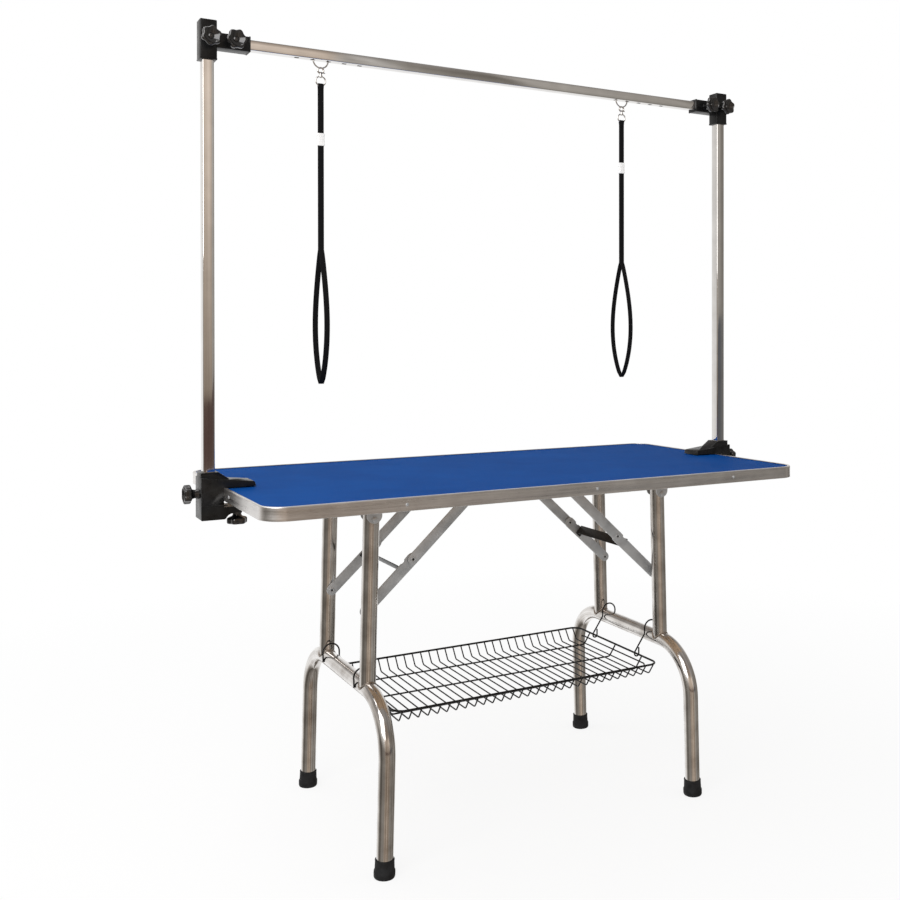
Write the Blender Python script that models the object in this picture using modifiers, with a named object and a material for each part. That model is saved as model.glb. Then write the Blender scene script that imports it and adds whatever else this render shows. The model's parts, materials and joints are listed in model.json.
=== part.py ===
"""Folding pet grooming table with an overhead arm, two nooses and a wire tray.

Units are metres, +Z is up, +X runs along the table top and -Y is the front.
The origin lies on the floor under the middle of the table top.
Each half of the table is built in its own side space, in which +X points
outward, so the left half is the right half turned half a turn about Z.
"""
import math

import bmesh
import bpy
from mathutils import Matrix

# ---- Driving dimensions -------------------------------------------------
GAP = 0.0003  # running gap between neighbouring pieces

TOP_LENGTH = 1.200
TOP_WIDTH = 0.600
TOP_HEIGHT = 0.709
TOP_THICKNESS = 0.025
CORNER_RADIUS = 0.045
TRIM_WALL = 0.0015
TRIM_LIP = 0.006
TRIM_LOWER_LIP = 0.010
MAT_THICKNESS = 0.0025
MAT_STEP = 0.0003  # the mat's edge under the lip lies this much lower
UNDERSIDE = TOP_HEIGHT - TOP_THICKNESS

TUBE_RADIUS = 0.016
TUBE_WALL = 0.0014
LEAN = math.radians(1.47)  # outward lean of each leg frame
PIVOT_X = 0.342  # leg pivot
PIVOT_Z = 0.645
UPPER_TUBE_Y = 0.1208
UPPER_TUBE_RISE = 0.016  # tube length above its pivot
FOOT_Y = 0.2283
HOOP_DROP = 0.3304  # pivot to hoop bar axis, along the leg
HOOP_BEND = 0.100
LEG_PIN_RADIUS = 0.0035

CAP_HEIGHT = 0.034
CAP_FLOOR = 0.006
CAP_TOP_RADIUS = 0.018
CAP_BOTTOM_RADIUS = 0.020

STAY_HALF_WIDTH = 0.011
STAY_THICKNESS = 0.003
STAY_LEG_DISTANCE = 0.185  # leg pivot to stay pivot, along the leg
STAY_TOP_X = 0.125  # stay pivot on the underside bracket
STAY_TOP_Z = 0.664
UPPER_STAY_LENGTH = 0.1655
LOWER_STAY_Y = 0.0992
UPPER_STAY_Y = 0.1027
STRIP_SETBACK = 0.030  # from the elbow, along the lower stay
STRIP_RISE = 0.003  # beyond the stay's upper edge
STRIP_THICKNESS = 0.0016
STRIP_FLANGE = 0.014
RIVET_HEAD = 0.006
STAY_PIN_RADIUS = 0.0035
SPACER_RADIUS = 0.0050  # on the stay's rivet at the leg
STUB_RADIUS = 0.0028  # that rivet's end inside the tube wall

RIM_Z = 0.276
TRAY_HALF_LENGTH = 0.311
TRAY_HALF_WIDTH = 0.168
TRAY_DROP = 0.0245
TRAY_SLOPE = 0.017
TRAY_CORNER = 0.022
RIM_RADIUS = 0.0025
TRAY_SKIN = 0.002
CROSS_WIRE = 0.0025
CROSS_PITCH = 0.0205
CROSS_COUNT = 30
HOOK_WIRE = 0.0015
HOOK_LIFT = 0.0155  # centre of the hook's arch above the hoop bar axis
LEFT_HOOK_Y = 0.0935
RIGHT_HOOK_Y = 0.0865

ARM_Y = 0.007  # the arm stands slightly behind the middle
POST_X = 0.624
POST_SIDE = 0.022
POST_BOTTOM = 0.652
POST_WALL = 0.0012
BAR_SIDE = 0.020
BAR_Z = 1.5635
BAR_HALF_LENGTH = 0.6115
SLEEVE_SIZE = (0.032, 0.030, 0.076)
SLEEVE_TOP = 1.601
SLEEVE_ARM_END = 0.544  # inner end of the horizontal sleeve
SLEEVE_ARM_HEIGHT = 0.029
KNOB_PITCH = 0.047
BRACKET_KNOB_RADIUS = 0.0195
BRACKET_KNOB_NECK = 0.0155
BRACKET_KNOB_HEIGHT = 0.012
BRACKET_KNOB_STEM = 0.0022
SLOT_FIRST = 0.317
SLOT_PITCH = 0.033
SLOT_COUNT = 5
SLOT_LENGTH = 0.009
SLOT_WIDTH = 0.006

CLAMP_WIDTH = 0.050
CLAMP_OUTER = 0.642
CLAMP_TOP = 0.739
CLAMP_BOTTOM = 0.649
JAW_TIP = 0.538
SCREW_X = 0.569
CLAMP_SHOULDER = 0.7297
JAW_TIP_TOP = 0.7184
COLLAR_INNER = 0.6075
COLLAR_DEPTH = 0.035
SIDE_KNOB_Z = 0.698
SIDE_KNOB_RADIUS = 0.0183
SIDE_KNOB_HEIGHT = 0.0158
SIDE_KNOB_NECK = 0.0120
SCREW_KNOB_RADIUS = 0.0225
SCREW_KNOB_HEIGHT = 0.0145
SCREW_KNOB_NECK = 0.009
KNOB_LOBES = 6
KNOB_NECK_BASE = 0.0095
KNOB_NECK_TOP = 0.0080
STEM_RADIUS = 0.004

NOOSE_RING = 0.0155
NOOSE_WIRE = 0.0015
STRAP_WIDTH = 0.0115
STRAP_THICKNESS = 0.0018
STRAP_GAP = 0.0014  # between the two strands
NOOSE_LENGTH = 0.650
LOOP_LENGTH = 0.270
LOOP_HALF_WIDTH = 0.045
EYE_DROP = 0.050  # ring centre to the bar of the snap's eye
EYE_WIRE = 0.0017
SLIDER_DROP = 0.147
SLIDER_SIZE = (0.0155, 0.0094, 0.025)

SIDES = {"left": -1, "right": 1}
ENDS = {"front": -1, "rear": 1}


# ---- Scene, materials and small helpers ---------------------------------
def clear_scene():
    for thing in list(bpy.data.objects):
        bpy.data.objects.remove(thing, do_unlink=True)


def new_collection(name):
    group = bpy.data.collections.new(name)
    bpy.context.scene.collection.children.link(group)
    return group


def new_material(name, colour, roughness, metallic=0.0):
    made = bpy.data.materials.new(name)
    made.use_nodes = True
    shader = made.node_tree.nodes["Principled BSDF"]
    shader.inputs["Base Color"].default_value = (*colour, 1.0)
    shader.inputs["Roughness"].default_value = roughness
    shader.inputs["Metallic"].default_value = metallic
    return made


def new_empty(name, parent=None, location=(0, 0, 0), rotation=(0, 0, 0)):
    hub = bpy.data.objects.new(name, None)
    hub.location = location
    hub.rotation_euler = rotation
    hub.parent = parent
    PARTS.objects.link(hub)
    return hub


def add_object(name, shape, parent, location=(0, 0, 0), rotation=(0, 0, 0), finish=None):
    """Link a mesh or a bmesh as an object; with no finish it is a cutter or guide."""
    data = shape
    if isinstance(shape, bmesh.types.BMesh):
        data = bpy.data.meshes.new(name)
        bmesh.ops.recalc_face_normals(shape, faces=shape.faces)
        shape.to_mesh(data)
        shape.free()
    thing = bpy.data.objects.new(name, data)
    thing.location = location
    thing.rotation_euler = rotation
    thing.parent = parent
    if finish is None:
        thing.hide_render = True
        thing.display_type = "WIRE"
        CUTTERS.objects.link(thing)
    else:
        data.materials.clear()
        data.materials.append(finish)
        data.shade_smooth()
        data.set_sharp_from_angle(angle=math.radians(35))
        PARTS.objects.link(thing)
    return thing


def combine(target, other, operation):
    step = target.modifiers.new(f"{operation.lower()}_{other.name}", "BOOLEAN")
    step.operation = operation
    step.object = other
    return target


def cut(target, *others):
    for other in others:
        combine(target, other, "DIFFERENCE")
    return target


def join(target, *others):
    for other in others:
        combine(target, other, "UNION")
    return target


def soften(target, width, segments=1):
    edge = target.modifiers.new("soft_edges", "BEVEL")
    edge.width = width
    edge.segments = segments
    edge.limit_method = "ANGLE"
    edge.angle_limit = math.radians(50)
    return target


def box_shape(size, centre=(0, 0, 0)):
    shape = bmesh.new()
    bmesh.ops.create_cube(shape, size=1.0)
    bmesh.ops.scale(shape, vec=size, verts=shape.verts)
    bmesh.ops.translate(shape, vec=centre, verts=shape.verts)
    return shape


AXIS_TURN = {
    "X": Matrix.Rotation(math.pi / 2, 4, "Y"),
    "Y": Matrix.Rotation(-math.pi / 2, 4, "X"),
    "Z": Matrix.Identity(4),
}


def rod_shape(radius, length, centre=(0, 0, 0), axis="Z", segments=20, top_radius=None):
    """A cylinder or cone centred on a point, with its length along an axis."""
    shape = bmesh.new()
    bmesh.ops.create_cone(
        shape,
        cap_ends=True,
        segments=segments,
        radius1=radius,
        radius2=radius if top_radius is None else top_radius,
        depth=length,
    )
    bmesh.ops.transform(shape, matrix=AXIS_TURN[axis], verts=shape.verts)
    bmesh.ops.translate(shape, vec=centre, verts=shape.verts)
    return shape


def arc(centre, radius, start, end, steps):
    """Points on a circle from one angle to another, in degrees, both ends included."""
    points = []
    for index in range(steps + 1):
        angle = math.radians(start + (end - start) * index / steps)
        points.append(
            (centre[0] + radius * math.cos(angle), centre[1] + radius * math.sin(angle))
        )
    return points


def rounded_rectangle(half_x, half_y, radius, steps=6):
    corners = ((1, 1, 0), (-1, 1, 90), (-1, -1, 180), (1, -1, 270))
    outline = []
    for sign_x, sign_y, start in corners:
        centre = (sign_x * (half_x - radius), sign_y * (half_y - radius))
        outline += arc(centre, radius, start, start + 90, steps)
    return outline


def curve_mesh(name, splines, cyclic, **settings):
    """The closed mesh of a poly curve: its caps are welded and the curve is removed."""
    curve = bpy.data.curves.new(name, "CURVE")
    for key, value in settings.items():
        setattr(curve, key, value)
    for points in splines:
        spline = curve.splines.new("POLY")
        spline.points.add(len(points) - 1)
        for slot, point in zip(spline.points, points):
            slot.co = (*point, 0.0, 1.0) if len(point) == 2 else (*point, 1.0)
        spline.use_cyclic_u = cyclic
    holder = bpy.data.objects.new(name, curve)
    CUTTERS.objects.link(holder)
    bpy.context.view_layer.update()
    graph = bpy.context.evaluated_depsgraph_get()
    data = bpy.data.meshes.new_from_object(holder.evaluated_get(graph))
    bpy.data.objects.remove(holder, do_unlink=True)
    bpy.data.curves.remove(curve)
    shape = bmesh.new()
    shape.from_mesh(data)
    bpy.data.meshes.remove(data)
    bmesh.ops.remove_doubles(shape, verts=shape.verts, dist=0.00001)
    return shape


def plate_shape(outline, thickness, holes=()):
    """A flat plate in the XY plane, centred on it, with any number of holes."""
    return curve_mesh(
        "outline",
        [outline, *holes],
        True,
        dimensions="2D",
        fill_mode="BOTH",
        extrude=thickness / 2,
    )


def wire_shape(points, radius, resolution=1, cyclic=False):
    return curve_mesh(
        "wire",
        [points],
        cyclic,
        dimensions="3D",
        bevel_depth=radius,
        bevel_resolution=resolution,
        use_fill_caps=not cyclic,
    )


def turned_object(name, profile, parent, finish, steps=20, ring=False, **place):
    """Turn a profile of (radius, height), outer side first from top to bottom, about Z."""
    shape = bmesh.new()
    points = [shape.verts.new((radius, 0, height)) for radius, height in profile]
    for first, second in zip(points, points[1:]):
        shape.edges.new((first, second))
    if ring:
        shape.edges.new((points[-1], points[0]))
    data = bpy.data.meshes.new(name)
    shape.to_mesh(data)
    shape.free()
    thing = add_object(name, data, parent, finish=finish, **place)
    turn = thing.modifiers.new("turn", "SCREW")
    turn.steps = turn.render_steps = steps
    turn.use_merge_vertices = True
    turn.merge_threshold = 0.00005
    turn.use_smooth_shade = True
    return thing


def ring_shell(levels, steps=6):
    """A shell round rectangular levels (half_x, half_y, radius, z), capped at both ends."""
    shape = bmesh.new()
    loops = []
    for half_x, half_y, radius, height in levels:
        outline = rounded_rectangle(half_x, half_y, radius, steps)
        loops.append([shape.verts.new((x, y, height)) for x, y in outline])
    for lower, upper in zip(loops, loops[1:]):
        count = len(lower)
        for index in range(count):
            follow = (index + 1) % count
            shape.faces.new((lower[index], lower[follow], upper[follow], upper[index]))
    shape.faces.new(loops[0])
    shape.faces.new(loops[-1])
    return shape


# ---- Table top ------------------------------------------------------------
def build_top():
    """A board with a rubber mat on it, both held by a channel trim round the edge."""
    root = new_empty("table_top")
    mat_top = TOP_HEIGHT - TRIM_WALL - GAP
    board_top = mat_top - MAT_THICKNESS - GAP
    board_bottom = UNDERSIDE + TRIM_WALL + GAP
    inset = TRIM_WALL + GAP
    outline = rounded_rectangle(
        TOP_LENGTH / 2 - inset, TOP_WIDTH / 2 - inset, CORNER_RADIUS - inset, 8
    )
    board = plate_shape(outline, board_top - board_bottom)
    add_object("table_board", board, root, (0, 0, (board_top + board_bottom) / 2), finish=WOOD)
    levels = (
        (inset, board_top + GAP),
        (inset, mat_top - MAT_STEP),
        (TRIM_LIP + GAP, mat_top - MAT_STEP),
        (TRIM_LIP + GAP, mat_top),
    )
    rings = [
        (TOP_LENGTH / 2 - grow, TOP_WIDTH / 2 - grow, CORNER_RADIUS - grow, height)
        for grow, height in levels
    ]
    add_object("rubber_mat", ring_shell(rings, 8), root, finish=MAT)
    build_trim(root)
    return root


def build_trim(root):
    """The channel: an outer wall with a lip over the mat and one under the board."""
    profile = (
        (TRIM_LOWER_LIP, UNDERSIDE),
        (0, UNDERSIDE),
        (0, TOP_HEIGHT),
        (TRIM_LIP, TOP_HEIGHT),
        (TRIM_LIP, TOP_HEIGHT - TRIM_WALL),
        (TRIM_WALL, TOP_HEIGHT - TRIM_WALL),
        (TRIM_WALL, UNDERSIDE + TRIM_WALL),
        (TRIM_LOWER_LIP, UNDERSIDE + TRIM_WALL),
    )
    shape = bmesh.new()
    loops = []
    for inset, height in profile:
        outline = rounded_rectangle(
            TOP_LENGTH / 2 - inset, TOP_WIDTH / 2 - inset, CORNER_RADIUS - inset, 8
        )
        loops.append([shape.verts.new((x, y, height)) for x, y in outline])
    for lower, upper in zip(loops, loops[1:] + loops[:1]):
        count = len(lower)
        for index in range(count):
            follow = (index + 1) % count
            shape.faces.new((lower[index], lower[follow], upper[follow], upper[index]))
    add_object("edge_trim", shape, root, finish=ALUMINIUM)


# ---- Leg frames -------------------------------------------------------------
def build_leg_bracket(name, side_hub, y):
    """A saddle under the board: two rounded ears either side of a tube, and its pin."""
    half_width = 0.0155
    ear = 0.002
    inside = TUBE_RADIUS + 0.0010
    top = UNDERSIDE - GAP
    base = 0.002
    bottom_centre = PIVOT_Z + half_width - 0.008
    outline = [(half_width, top), (-half_width, top)]
    outline += arc((0, bottom_centre), half_width, 180, 360, 8)
    shape = plate_shape(outline, 2 * (inside + ear))
    place = {"location": (PIVOT_X, y, 0), "rotation": (math.pi / 2, 0, 0)}
    bracket = add_object(name, shape, side_hub, finish=ZINC, **place)
    slot_height = top - base
    slot = box_shape((0.1, slot_height * 2, 2 * inside), (0, 0, 0))
    cut(bracket, add_object(f"{name}_slot", slot, side_hub, **place))
    reach = inside + ear
    profile = (
        (0, reach + 0.003),
        (0.004, reach + 0.0022),
        (RIVET_HEAD, reach - 0.0005),
        (LEG_PIN_RADIUS, reach - 0.0005),
        (LEG_PIN_RADIUS, 0.0005 - reach),
        (RIVET_HEAD, 0.0005 - reach),
        (0.004, -0.0022 - reach),
        (0, -0.003 - reach),
    )
    pin_place = {"location": (PIVOT_X, y, PIVOT_Z), "rotation": (math.pi / 2, 0, 0)}
    pin = turned_object(f"{name}_pin", profile, side_hub, None, 10, **pin_place)
    join(bracket, pin)


def hoop_path(extra=0.0):
    """Half-square hoop in the leg frame: up one leg, over the bar and down the other."""
    half = FOOT_Y - HOOP_BEND
    foot = -PIVOT_Z / math.cos(LEAN) + CAP_FLOOR + GAP - extra
    side = arc((half, -HOOP_DROP - HOOP_BEND), HOOP_BEND, 0, 90, 8)
    right = [(FOOT_Y, foot)] + side
    path = [(0, y, z) for y, z in right]
    return path + [(0, -y, z) for y, z in reversed(right)]


def build_leg_frame(label, side, side_hub):
    """A foot hoop with two upper tubes welded on its bar, and a cap on each foot."""
    frame = new_empty(f"{label}_leg_frame", side_hub, (PIVOT_X, 0, PIVOT_Z), (0, -LEAN, 0))
    hoop = wire_shape(hoop_path(), TUBE_RADIUS, 3)
    hoop = add_object(f"{label}_foot_hoop", hoop, frame, finish=STEEL)
    bore = wire_shape(hoop_path(0.02), TUBE_RADIUS - TUBE_WALL, 3)
    cut(hoop, add_object(f"{label}_hoop_bore", bore, frame))
    low = -HOOP_DROP
    cope = rod_shape(TUBE_RADIUS + GAP, 0.6, (0, 0, low), "Y")
    cope = add_object(f"{label}_cope", cope, frame)
    floor = box_shape((0.2, 0.8, 0.1), (PIVOT_X + 0.013, 0, -0.05))
    floor = add_object(f"{label}_floor", floor, side_hub)
    for end, front in ENDS.items():
        y = front * side * UPPER_TUBE_Y
        profile = (
            (TUBE_RADIUS, UPPER_TUBE_RISE),
            (TUBE_RADIUS, low),
            (TUBE_RADIUS - TUBE_WALL, low),
            (TUBE_RADIUS - TUBE_WALL, UPPER_TUBE_RISE),
        )
        tube = turned_object(
            f"{label}_{end}_leg_tube", profile, frame, STEEL, ring=True, location=(0, y, 0)
        )
        pin_hole = rod_shape(LEG_PIN_RADIUS + GAP, 0.06, (0, y, 0), "Y", 10)
        inward = -1 if y > 0 else 1
        rivet_hole_centre = (0, y + inward * TUBE_RADIUS, -STAY_LEG_DISTANCE)
        rivet_hole = rod_shape(0.0034, 0.012, rivet_hole_centre, "Y", 10)
        cut(
            tube,
            cope,
            add_object(f"{label}_{end}_pin_hole", pin_hole, frame),
            add_object(f"{label}_{end}_rivet_hole", rivet_hole, frame),
        )
        build_foot_cap(f"{label}_{end}_foot_cap", frame, front * side * FOOT_Y, floor)
        build_leg_bracket(f"{label}_{end}_leg_bracket", side_hub, y)
    return frame


def build_foot_cap(name, frame, y, floor):
    """A rubber cup round the end of the tube, cut level with the floor."""
    bottom = -PIVOT_Z / math.cos(LEAN)
    rim = bottom + CAP_HEIGHT
    seat = bottom + CAP_FLOOR
    bore = TUBE_RADIUS + 2 * GAP
    profile = (
        (CAP_TOP_RADIUS - 0.001, rim),
        (CAP_TOP_RADIUS, rim - 0.001),
        (CAP_BOTTOM_RADIUS, bottom + 0.010),
        (CAP_BOTTOM_RADIUS, bottom - 0.002),
        (0, bottom - 0.002),
    )
    cup = turned_object(name, ((0, rim),) + profile, frame, RUBBER, location=(0, y, 0))
    hole = rod_shape(bore, 0.06, (0, y, seat + 0.03))
    cut(cup, add_object(f"{name}_bore", hole, frame), floor)


# ---- Folding stays ----------------------------------------------------------
def stay_geometry():
    """The lower stay's length, and the slope of a stay unfolded into one line."""
    leg_x = PIVOT_X + STAY_LEG_DISTANCE * math.sin(LEAN)
    leg_z = PIVOT_Z - STAY_LEG_DISTANCE * math.cos(LEAN)
    span_x = leg_x - STAY_TOP_X
    span_z = leg_z - STAY_TOP_Z
    length = math.hypot(span_x, span_z)
    angle = math.atan2(span_z, span_x)
    return length - UPPER_STAY_LENGTH, angle


def stay_outline(length, far_radius, near_radius, notch=0.0):
    """A strap with round ends at 0 and at length; a notch steps its upper edge."""
    outline = arc((0, 0), near_radius, 90, 270, 8)
    if notch:
        outline.append((length - far_radius - notch, -near_radius))
        outline.append((length - far_radius - notch, -near_radius + 0.004))
        outline.append((length - far_radius, -near_radius + 0.004))
    outline += arc((length, 0), far_radius, -90, 90, 8)
    return outline


def rivet_profile(boss, boss_radius, stub):
    """A low domed head on one face of a plate, and a stepped boss out of the other."""
    half = STAY_THICKNESS / 2
    waist = half - 0.0010
    profile = [
        (0, half + 0.0015),
        (0.0035, half + 0.0012),
        (RIVET_HEAD, waist),
        (boss_radius, waist - 0.0002),
        (boss_radius, -half - boss),
    ]
    if stub:
        profile.append((STUB_RADIUS, -half - boss))
        profile.append((STUB_RADIUS, -half - boss - stub))
    profile.append((0, -half - boss - stub))
    return profile


def build_stay(name, hub, y, outline, rivets, holes=()):
    """One stay plate with its holes and rivets, each at a distance along the plate.

    A rivet is (distance, side of its head in Y, boss length, boss radius, stub length);
    a hole is (distance, radius). A negative boss ends inside the plate.
    """
    turn = (math.pi / 2, 0, 0)
    shape = plate_shape(outline, STAY_THICKNESS)
    stay = add_object(name, shape, hub, (0, y, 0), turn, ZINC)
    for distance, radius in holes:
        drill = rod_shape(radius, 0.02, (distance, y, 0), "Y", 12)
        cut(stay, add_object(f"{name}_hole", drill, hub))
    for distance, head_side, boss, boss_radius, stub in rivets:
        place = {"location": (distance, y, 0), "rotation": (-head_side * math.pi / 2, 0, 0)}
        profile = rivet_profile(boss, boss_radius, stub)
        rivet = turned_object(f"{name}_rivet", profile, hub, None, 12, **place)
        join(stay, rivet)


def build_stays(label, side, side_hub, frame):
    """Two folding stays per side, and the band that joins their lower halves."""
    lower_length, angle = stay_geometry()
    upper_hub = new_empty(
        f"{label}_upper_stays", side_hub, (STAY_TOP_X, 0, STAY_TOP_Z), (0, -angle, 0)
    )
    lower_turn = LEAN - angle - math.pi
    lower_hub = new_empty(
        f"{label}_lower_stays", frame, (0, 0, -STAY_LEG_DISTANCE), (0, lower_turn, 0)
    )
    tube_face = UPPER_TUBE_Y - TUBE_RADIUS - GAP
    spacer = tube_face - LOWER_STAY_Y - STAY_THICKNESS / 2
    upper = stay_outline(UPPER_STAY_LENGTH, STAY_HALF_WIDTH, STAY_HALF_WIDTH)
    lower = stay_outline(lower_length, STAY_HALF_WIDTH + 0.0015, STAY_HALF_WIDTH, 0.010)
    for end, front in ENDS.items():
        out = front * side
        upper_rivets = ((UPPER_STAY_LENGTH, out, -0.0005, STAY_PIN_RADIUS, 0),)
        upper_holes = ((0, STAY_PIN_RADIUS + GAP),)
        lower_rivets = (
            (0, -out, spacer, SPACER_RADIUS, 0.0022),
            (lower_length, -out, -0.0005, STAY_PIN_RADIUS, 0),
        )
        build_stay(
            f"{label}_{end}_upper_stay",
            upper_hub,
            out * UPPER_STAY_Y,
            upper,
            upper_rivets,
            upper_holes,
        )
        build_stay(
            f"{label}_{end}_lower_stay", lower_hub, out * LOWER_STAY_Y, lower, lower_rivets
        )
        build_stay_bracket(f"{label}_{end}_stay_bracket", side_hub, out)
    build_cross_strip(label, lower_hub, lower_length)


def build_stay_bracket(name, side_hub, out):
    """An angle under the board whose ear holds the upper stay on a riveted pin."""
    ear = 0.002
    ear_y = UPPER_STAY_Y - STAY_THICKNESS / 2 - GAP - ear / 2
    top = UNDERSIDE - GAP
    half = 0.012
    outline = [(half, top), (-half, top)]
    outline += arc((0, STAY_TOP_Z), half, 180, 360, 8)
    place = {"location": (STAY_TOP_X, out * ear_y, 0), "rotation": (math.pi / 2, 0, 0)}
    bracket = add_object(name, plate_shape(outline, ear), side_hub, finish=ZINC, **place)
    flange_centre = (STAY_TOP_X, out * (ear_y - 0.011), top - ear / 2 - 0.0001)
    flange = box_shape((2 * half - 0.001, 0.0231, ear), flange_centre)
    flange = add_object(f"{name}_flange", flange, side_hub)
    reach = ear / 2 + 2 * GAP + STAY_THICKNESS
    profile = (
        (0, reach + 0.0016),
        (0.0035, reach + 0.0013),
        (RIVET_HEAD, reach),
        (STAY_PIN_RADIUS, reach),
        (STAY_PIN_RADIUS, -ear / 2 + 0.0002),
        (RIVET_HEAD - 0.001, -ear / 2 + 0.0002),
        (0.003, -ear / 2 - 0.0015),
        (0, -ear / 2 - 0.0018),
    )
    turn = (-math.pi / 2 * out, 0, 0)
    pin_place = {"location": (STAY_TOP_X, out * ear_y, STAY_TOP_Z), "rotation": turn}
    pin = turned_object(f"{name}_pin", profile, side_hub, None, 12, **pin_place)
    join(bracket, flange, pin)


def build_cross_strip(label, hub, lower_length):
    """A band square to both lower stays, with a flange at each end on their inner faces."""
    centre_x = lower_length - STRIP_SETBACK
    inner = LOWER_STAY_Y - STAY_THICKNESS / 2 - GAP
    width = 2 * STAY_HALF_WIDTH
    shape = box_shape((STRIP_THICKNESS, 2 * inner, width), (centre_x, 0, -STRIP_RISE))
    strip = add_object(f"{label}_cross_strip", shape, hub, finish=BLACK)
    flange_x = centre_x - STRIP_FLANGE / 2
    for out in (-1, 1):
        flange_centre = (flange_x, out * (inner - STRIP_THICKNESS / 2 - 0.00005), 0)
        flange_size = (STRIP_FLANGE, STRIP_THICKNESS, width * 0.8)
        flange = box_shape(flange_size, flange_centre)
        join(strip, add_object(f"{label}_strip_flange_{out}", flange, hub))


# ---- Tray and hooks -----------------------------------------------------------
def build_tray():
    """A shallow rectangular tray, open on top, with sloping sides and a round rim."""
    skin = TRAY_SKIN
    bead = RIM_RADIUS
    floor = RIM_Z - TRAY_DROP
    inner = TRAY_SLOPE + skin / 2
    levels = (
        (-TRAY_SLOPE + skin / 2, floor - skin / 2),
        (bead * 0.7, RIM_Z - bead * 0.9),
        (bead, RIM_Z - bead * 0.3),
        (bead, RIM_Z + bead * 0.3),
        (bead * 0.4, RIM_Z + bead),
        (-bead * 0.4, RIM_Z + bead),
        (-bead, RIM_Z + bead * 0.3),
        (-bead, RIM_Z - bead * 0.3),
        (-inner, floor + skin / 2),
    )
    rings = []
    for grow, height in levels:
        rings.append(
            (
                TRAY_HALF_LENGTH + grow,
                TRAY_HALF_WIDTH + grow,
                TRAY_CORNER + grow,
                height,
            )
        )
    tray = add_object("wire_tray", ring_shell(rings, 5), None, finish=BLACK_WIRE)
    for sign_x, hook_y in ((-1, LEFT_HOOK_Y), (1, RIGHT_HOOK_Y)):
        for out in (-1, 1):
            height = TRAY_DROP - skin / 2 - bead * 0.9 - 0.001
            centre = (
                sign_x * (TRAY_HALF_LENGTH - 0.003),
                out * hook_y,
                RIM_Z - bead * 0.9 - height / 2,
            )
            notch = box_shape((0.024, 0.009, height), centre)
            cut(tray, add_object(f"tray_notch_{sign_x}_{out}", notch, None))
    cut(tray, add_object("tray_windows", tray_windows(floor), None))


def tray_windows(floor):
    """The gaps between the floor's cross wires, either side of the middle wire."""
    windows = bmesh.new()
    first = -CROSS_PITCH * (CROSS_COUNT - 1) / 2
    depth = TRAY_HALF_WIDTH - TRAY_SLOPE - TRAY_SKIN - CROSS_WIRE / 2
    size = (CROSS_PITCH - CROSS_WIRE, depth, 4 * TRAY_SKIN)
    for index in range(1, CROSS_COUNT - 2):
        x = first + (index + 0.5) * CROSS_PITCH
        for out in (-1, 1):
            y = out * (CROSS_WIRE / 2 + depth / 2)
            made = bmesh.ops.create_cube(windows, size=1.0)["verts"]
            bmesh.ops.scale(windows, vec=size, verts=made)
            bmesh.ops.translate(windows, vec=(x, y, floor), verts=made)
    return windows


def hook_path(full_seat):
    """A hook from behind the bar, over it, and down to a seat under the tray rim."""
    bar_x = PIVOT_X + HOOP_DROP * math.sin(LEAN)
    bar_z = PIVOT_Z - HOOP_DROP * math.cos(LEAN)
    reach = TUBE_RADIUS + HOOK_WIRE + 0.0006
    top = arc((bar_x, bar_z + HOOK_LIFT), reach, 0, 180, 8)
    seat_x = TRAY_HALF_LENGTH - RIM_RADIUS - HOOK_WIRE - 0.0024
    seat_z = RIM_Z - RIM_RADIUS - HOOK_WIRE - 0.0009
    path = [(bar_x + reach, bar_z - 0.004)] + top
    path.append((bar_x - reach, bar_z + 0.002))
    path.append((seat_x, RIM_Z + 0.004))
    path.append((seat_x, seat_z + 0.0012))
    path.append((seat_x + 0.0014, seat_z))
    if full_seat:
        outer_x = TRAY_HALF_LENGTH + RIM_RADIUS + HOOK_WIRE + 0.0012
        path.append((outer_x - 0.0014, seat_z))
        path.append((outer_x, seat_z + 0.0014))
        path.append((outer_x, RIM_Z + 0.014))
    else:
        path.append((TRAY_HALF_LENGTH - HOOK_WIRE - 0.0001, seat_z))
    return [(x, 0, z) for x, z in path]


def build_hooks(label, side, side_hub, hook_y):
    """The right pair closes round the tray rim; the left pair is an open seat."""
    for end, front in ENDS.items():
        shape = wire_shape(hook_path(label == "right"), HOOK_WIRE, 1)
        place = (0, front * side * hook_y, 0)
        add_object(f"{label}_{end}_tray_hook", shape, side_hub, place, finish=BLACK_WIRE)


# ---- Clamps ---------------------------------------------------------------------
def lobed_outline(radius, depth, lobes, steps=4):
    """A knob outline whose radius swings between radius and radius - 2 * depth."""
    count = lobes * steps
    outline = []
    for index in range(count):
        angle = 2 * math.pi * index / count
        reach = radius - depth + depth * math.cos(lobes * angle)
        outline.append((reach * math.cos(angle), reach * math.sin(angle)))
    return outline


def build_knob(name, parent, radius, height, neck, stem, location, rotation):
    """A lobed knob on a conical neck, with a threaded stem that points along -Z."""
    hub = new_empty(f"{name}_axis", parent, location, rotation)
    head = plate_shape(lobed_outline(radius, radius * 0.10, KNOB_LOBES), height)
    knob = add_object(name, head, hub, (0, 0, neck + height / 2), finish=GLOSS_BLACK)
    neck_length = neck + 0.001
    neck_centre = (0, 0, neck_length / 2)
    neck_shape = rod_shape(
        KNOB_NECK_BASE, neck_length, neck_centre, segments=12, top_radius=KNOB_NECK_TOP
    )
    stem_length = stem + 0.001
    stem_centre = (0, 0, 0.001 - stem_length / 2)
    stem_shape = rod_shape(STEM_RADIUS, stem_length, stem_centre, segments=8)
    dish_depth = 0.004
    dish_centre = (0, 0, neck + height - dish_depth / 2 + 0.0002)
    dish = rod_shape(
        0.004, dish_depth, dish_centre, segments=12, top_radius=radius * 0.68
    )
    join(
        knob,
        add_object(f"{name}_neck", neck_shape, hub),
        add_object(f"{name}_stem", stem_shape, hub),
    )
    cut(knob, add_object(f"{name}_dish", dish, hub))


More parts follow.
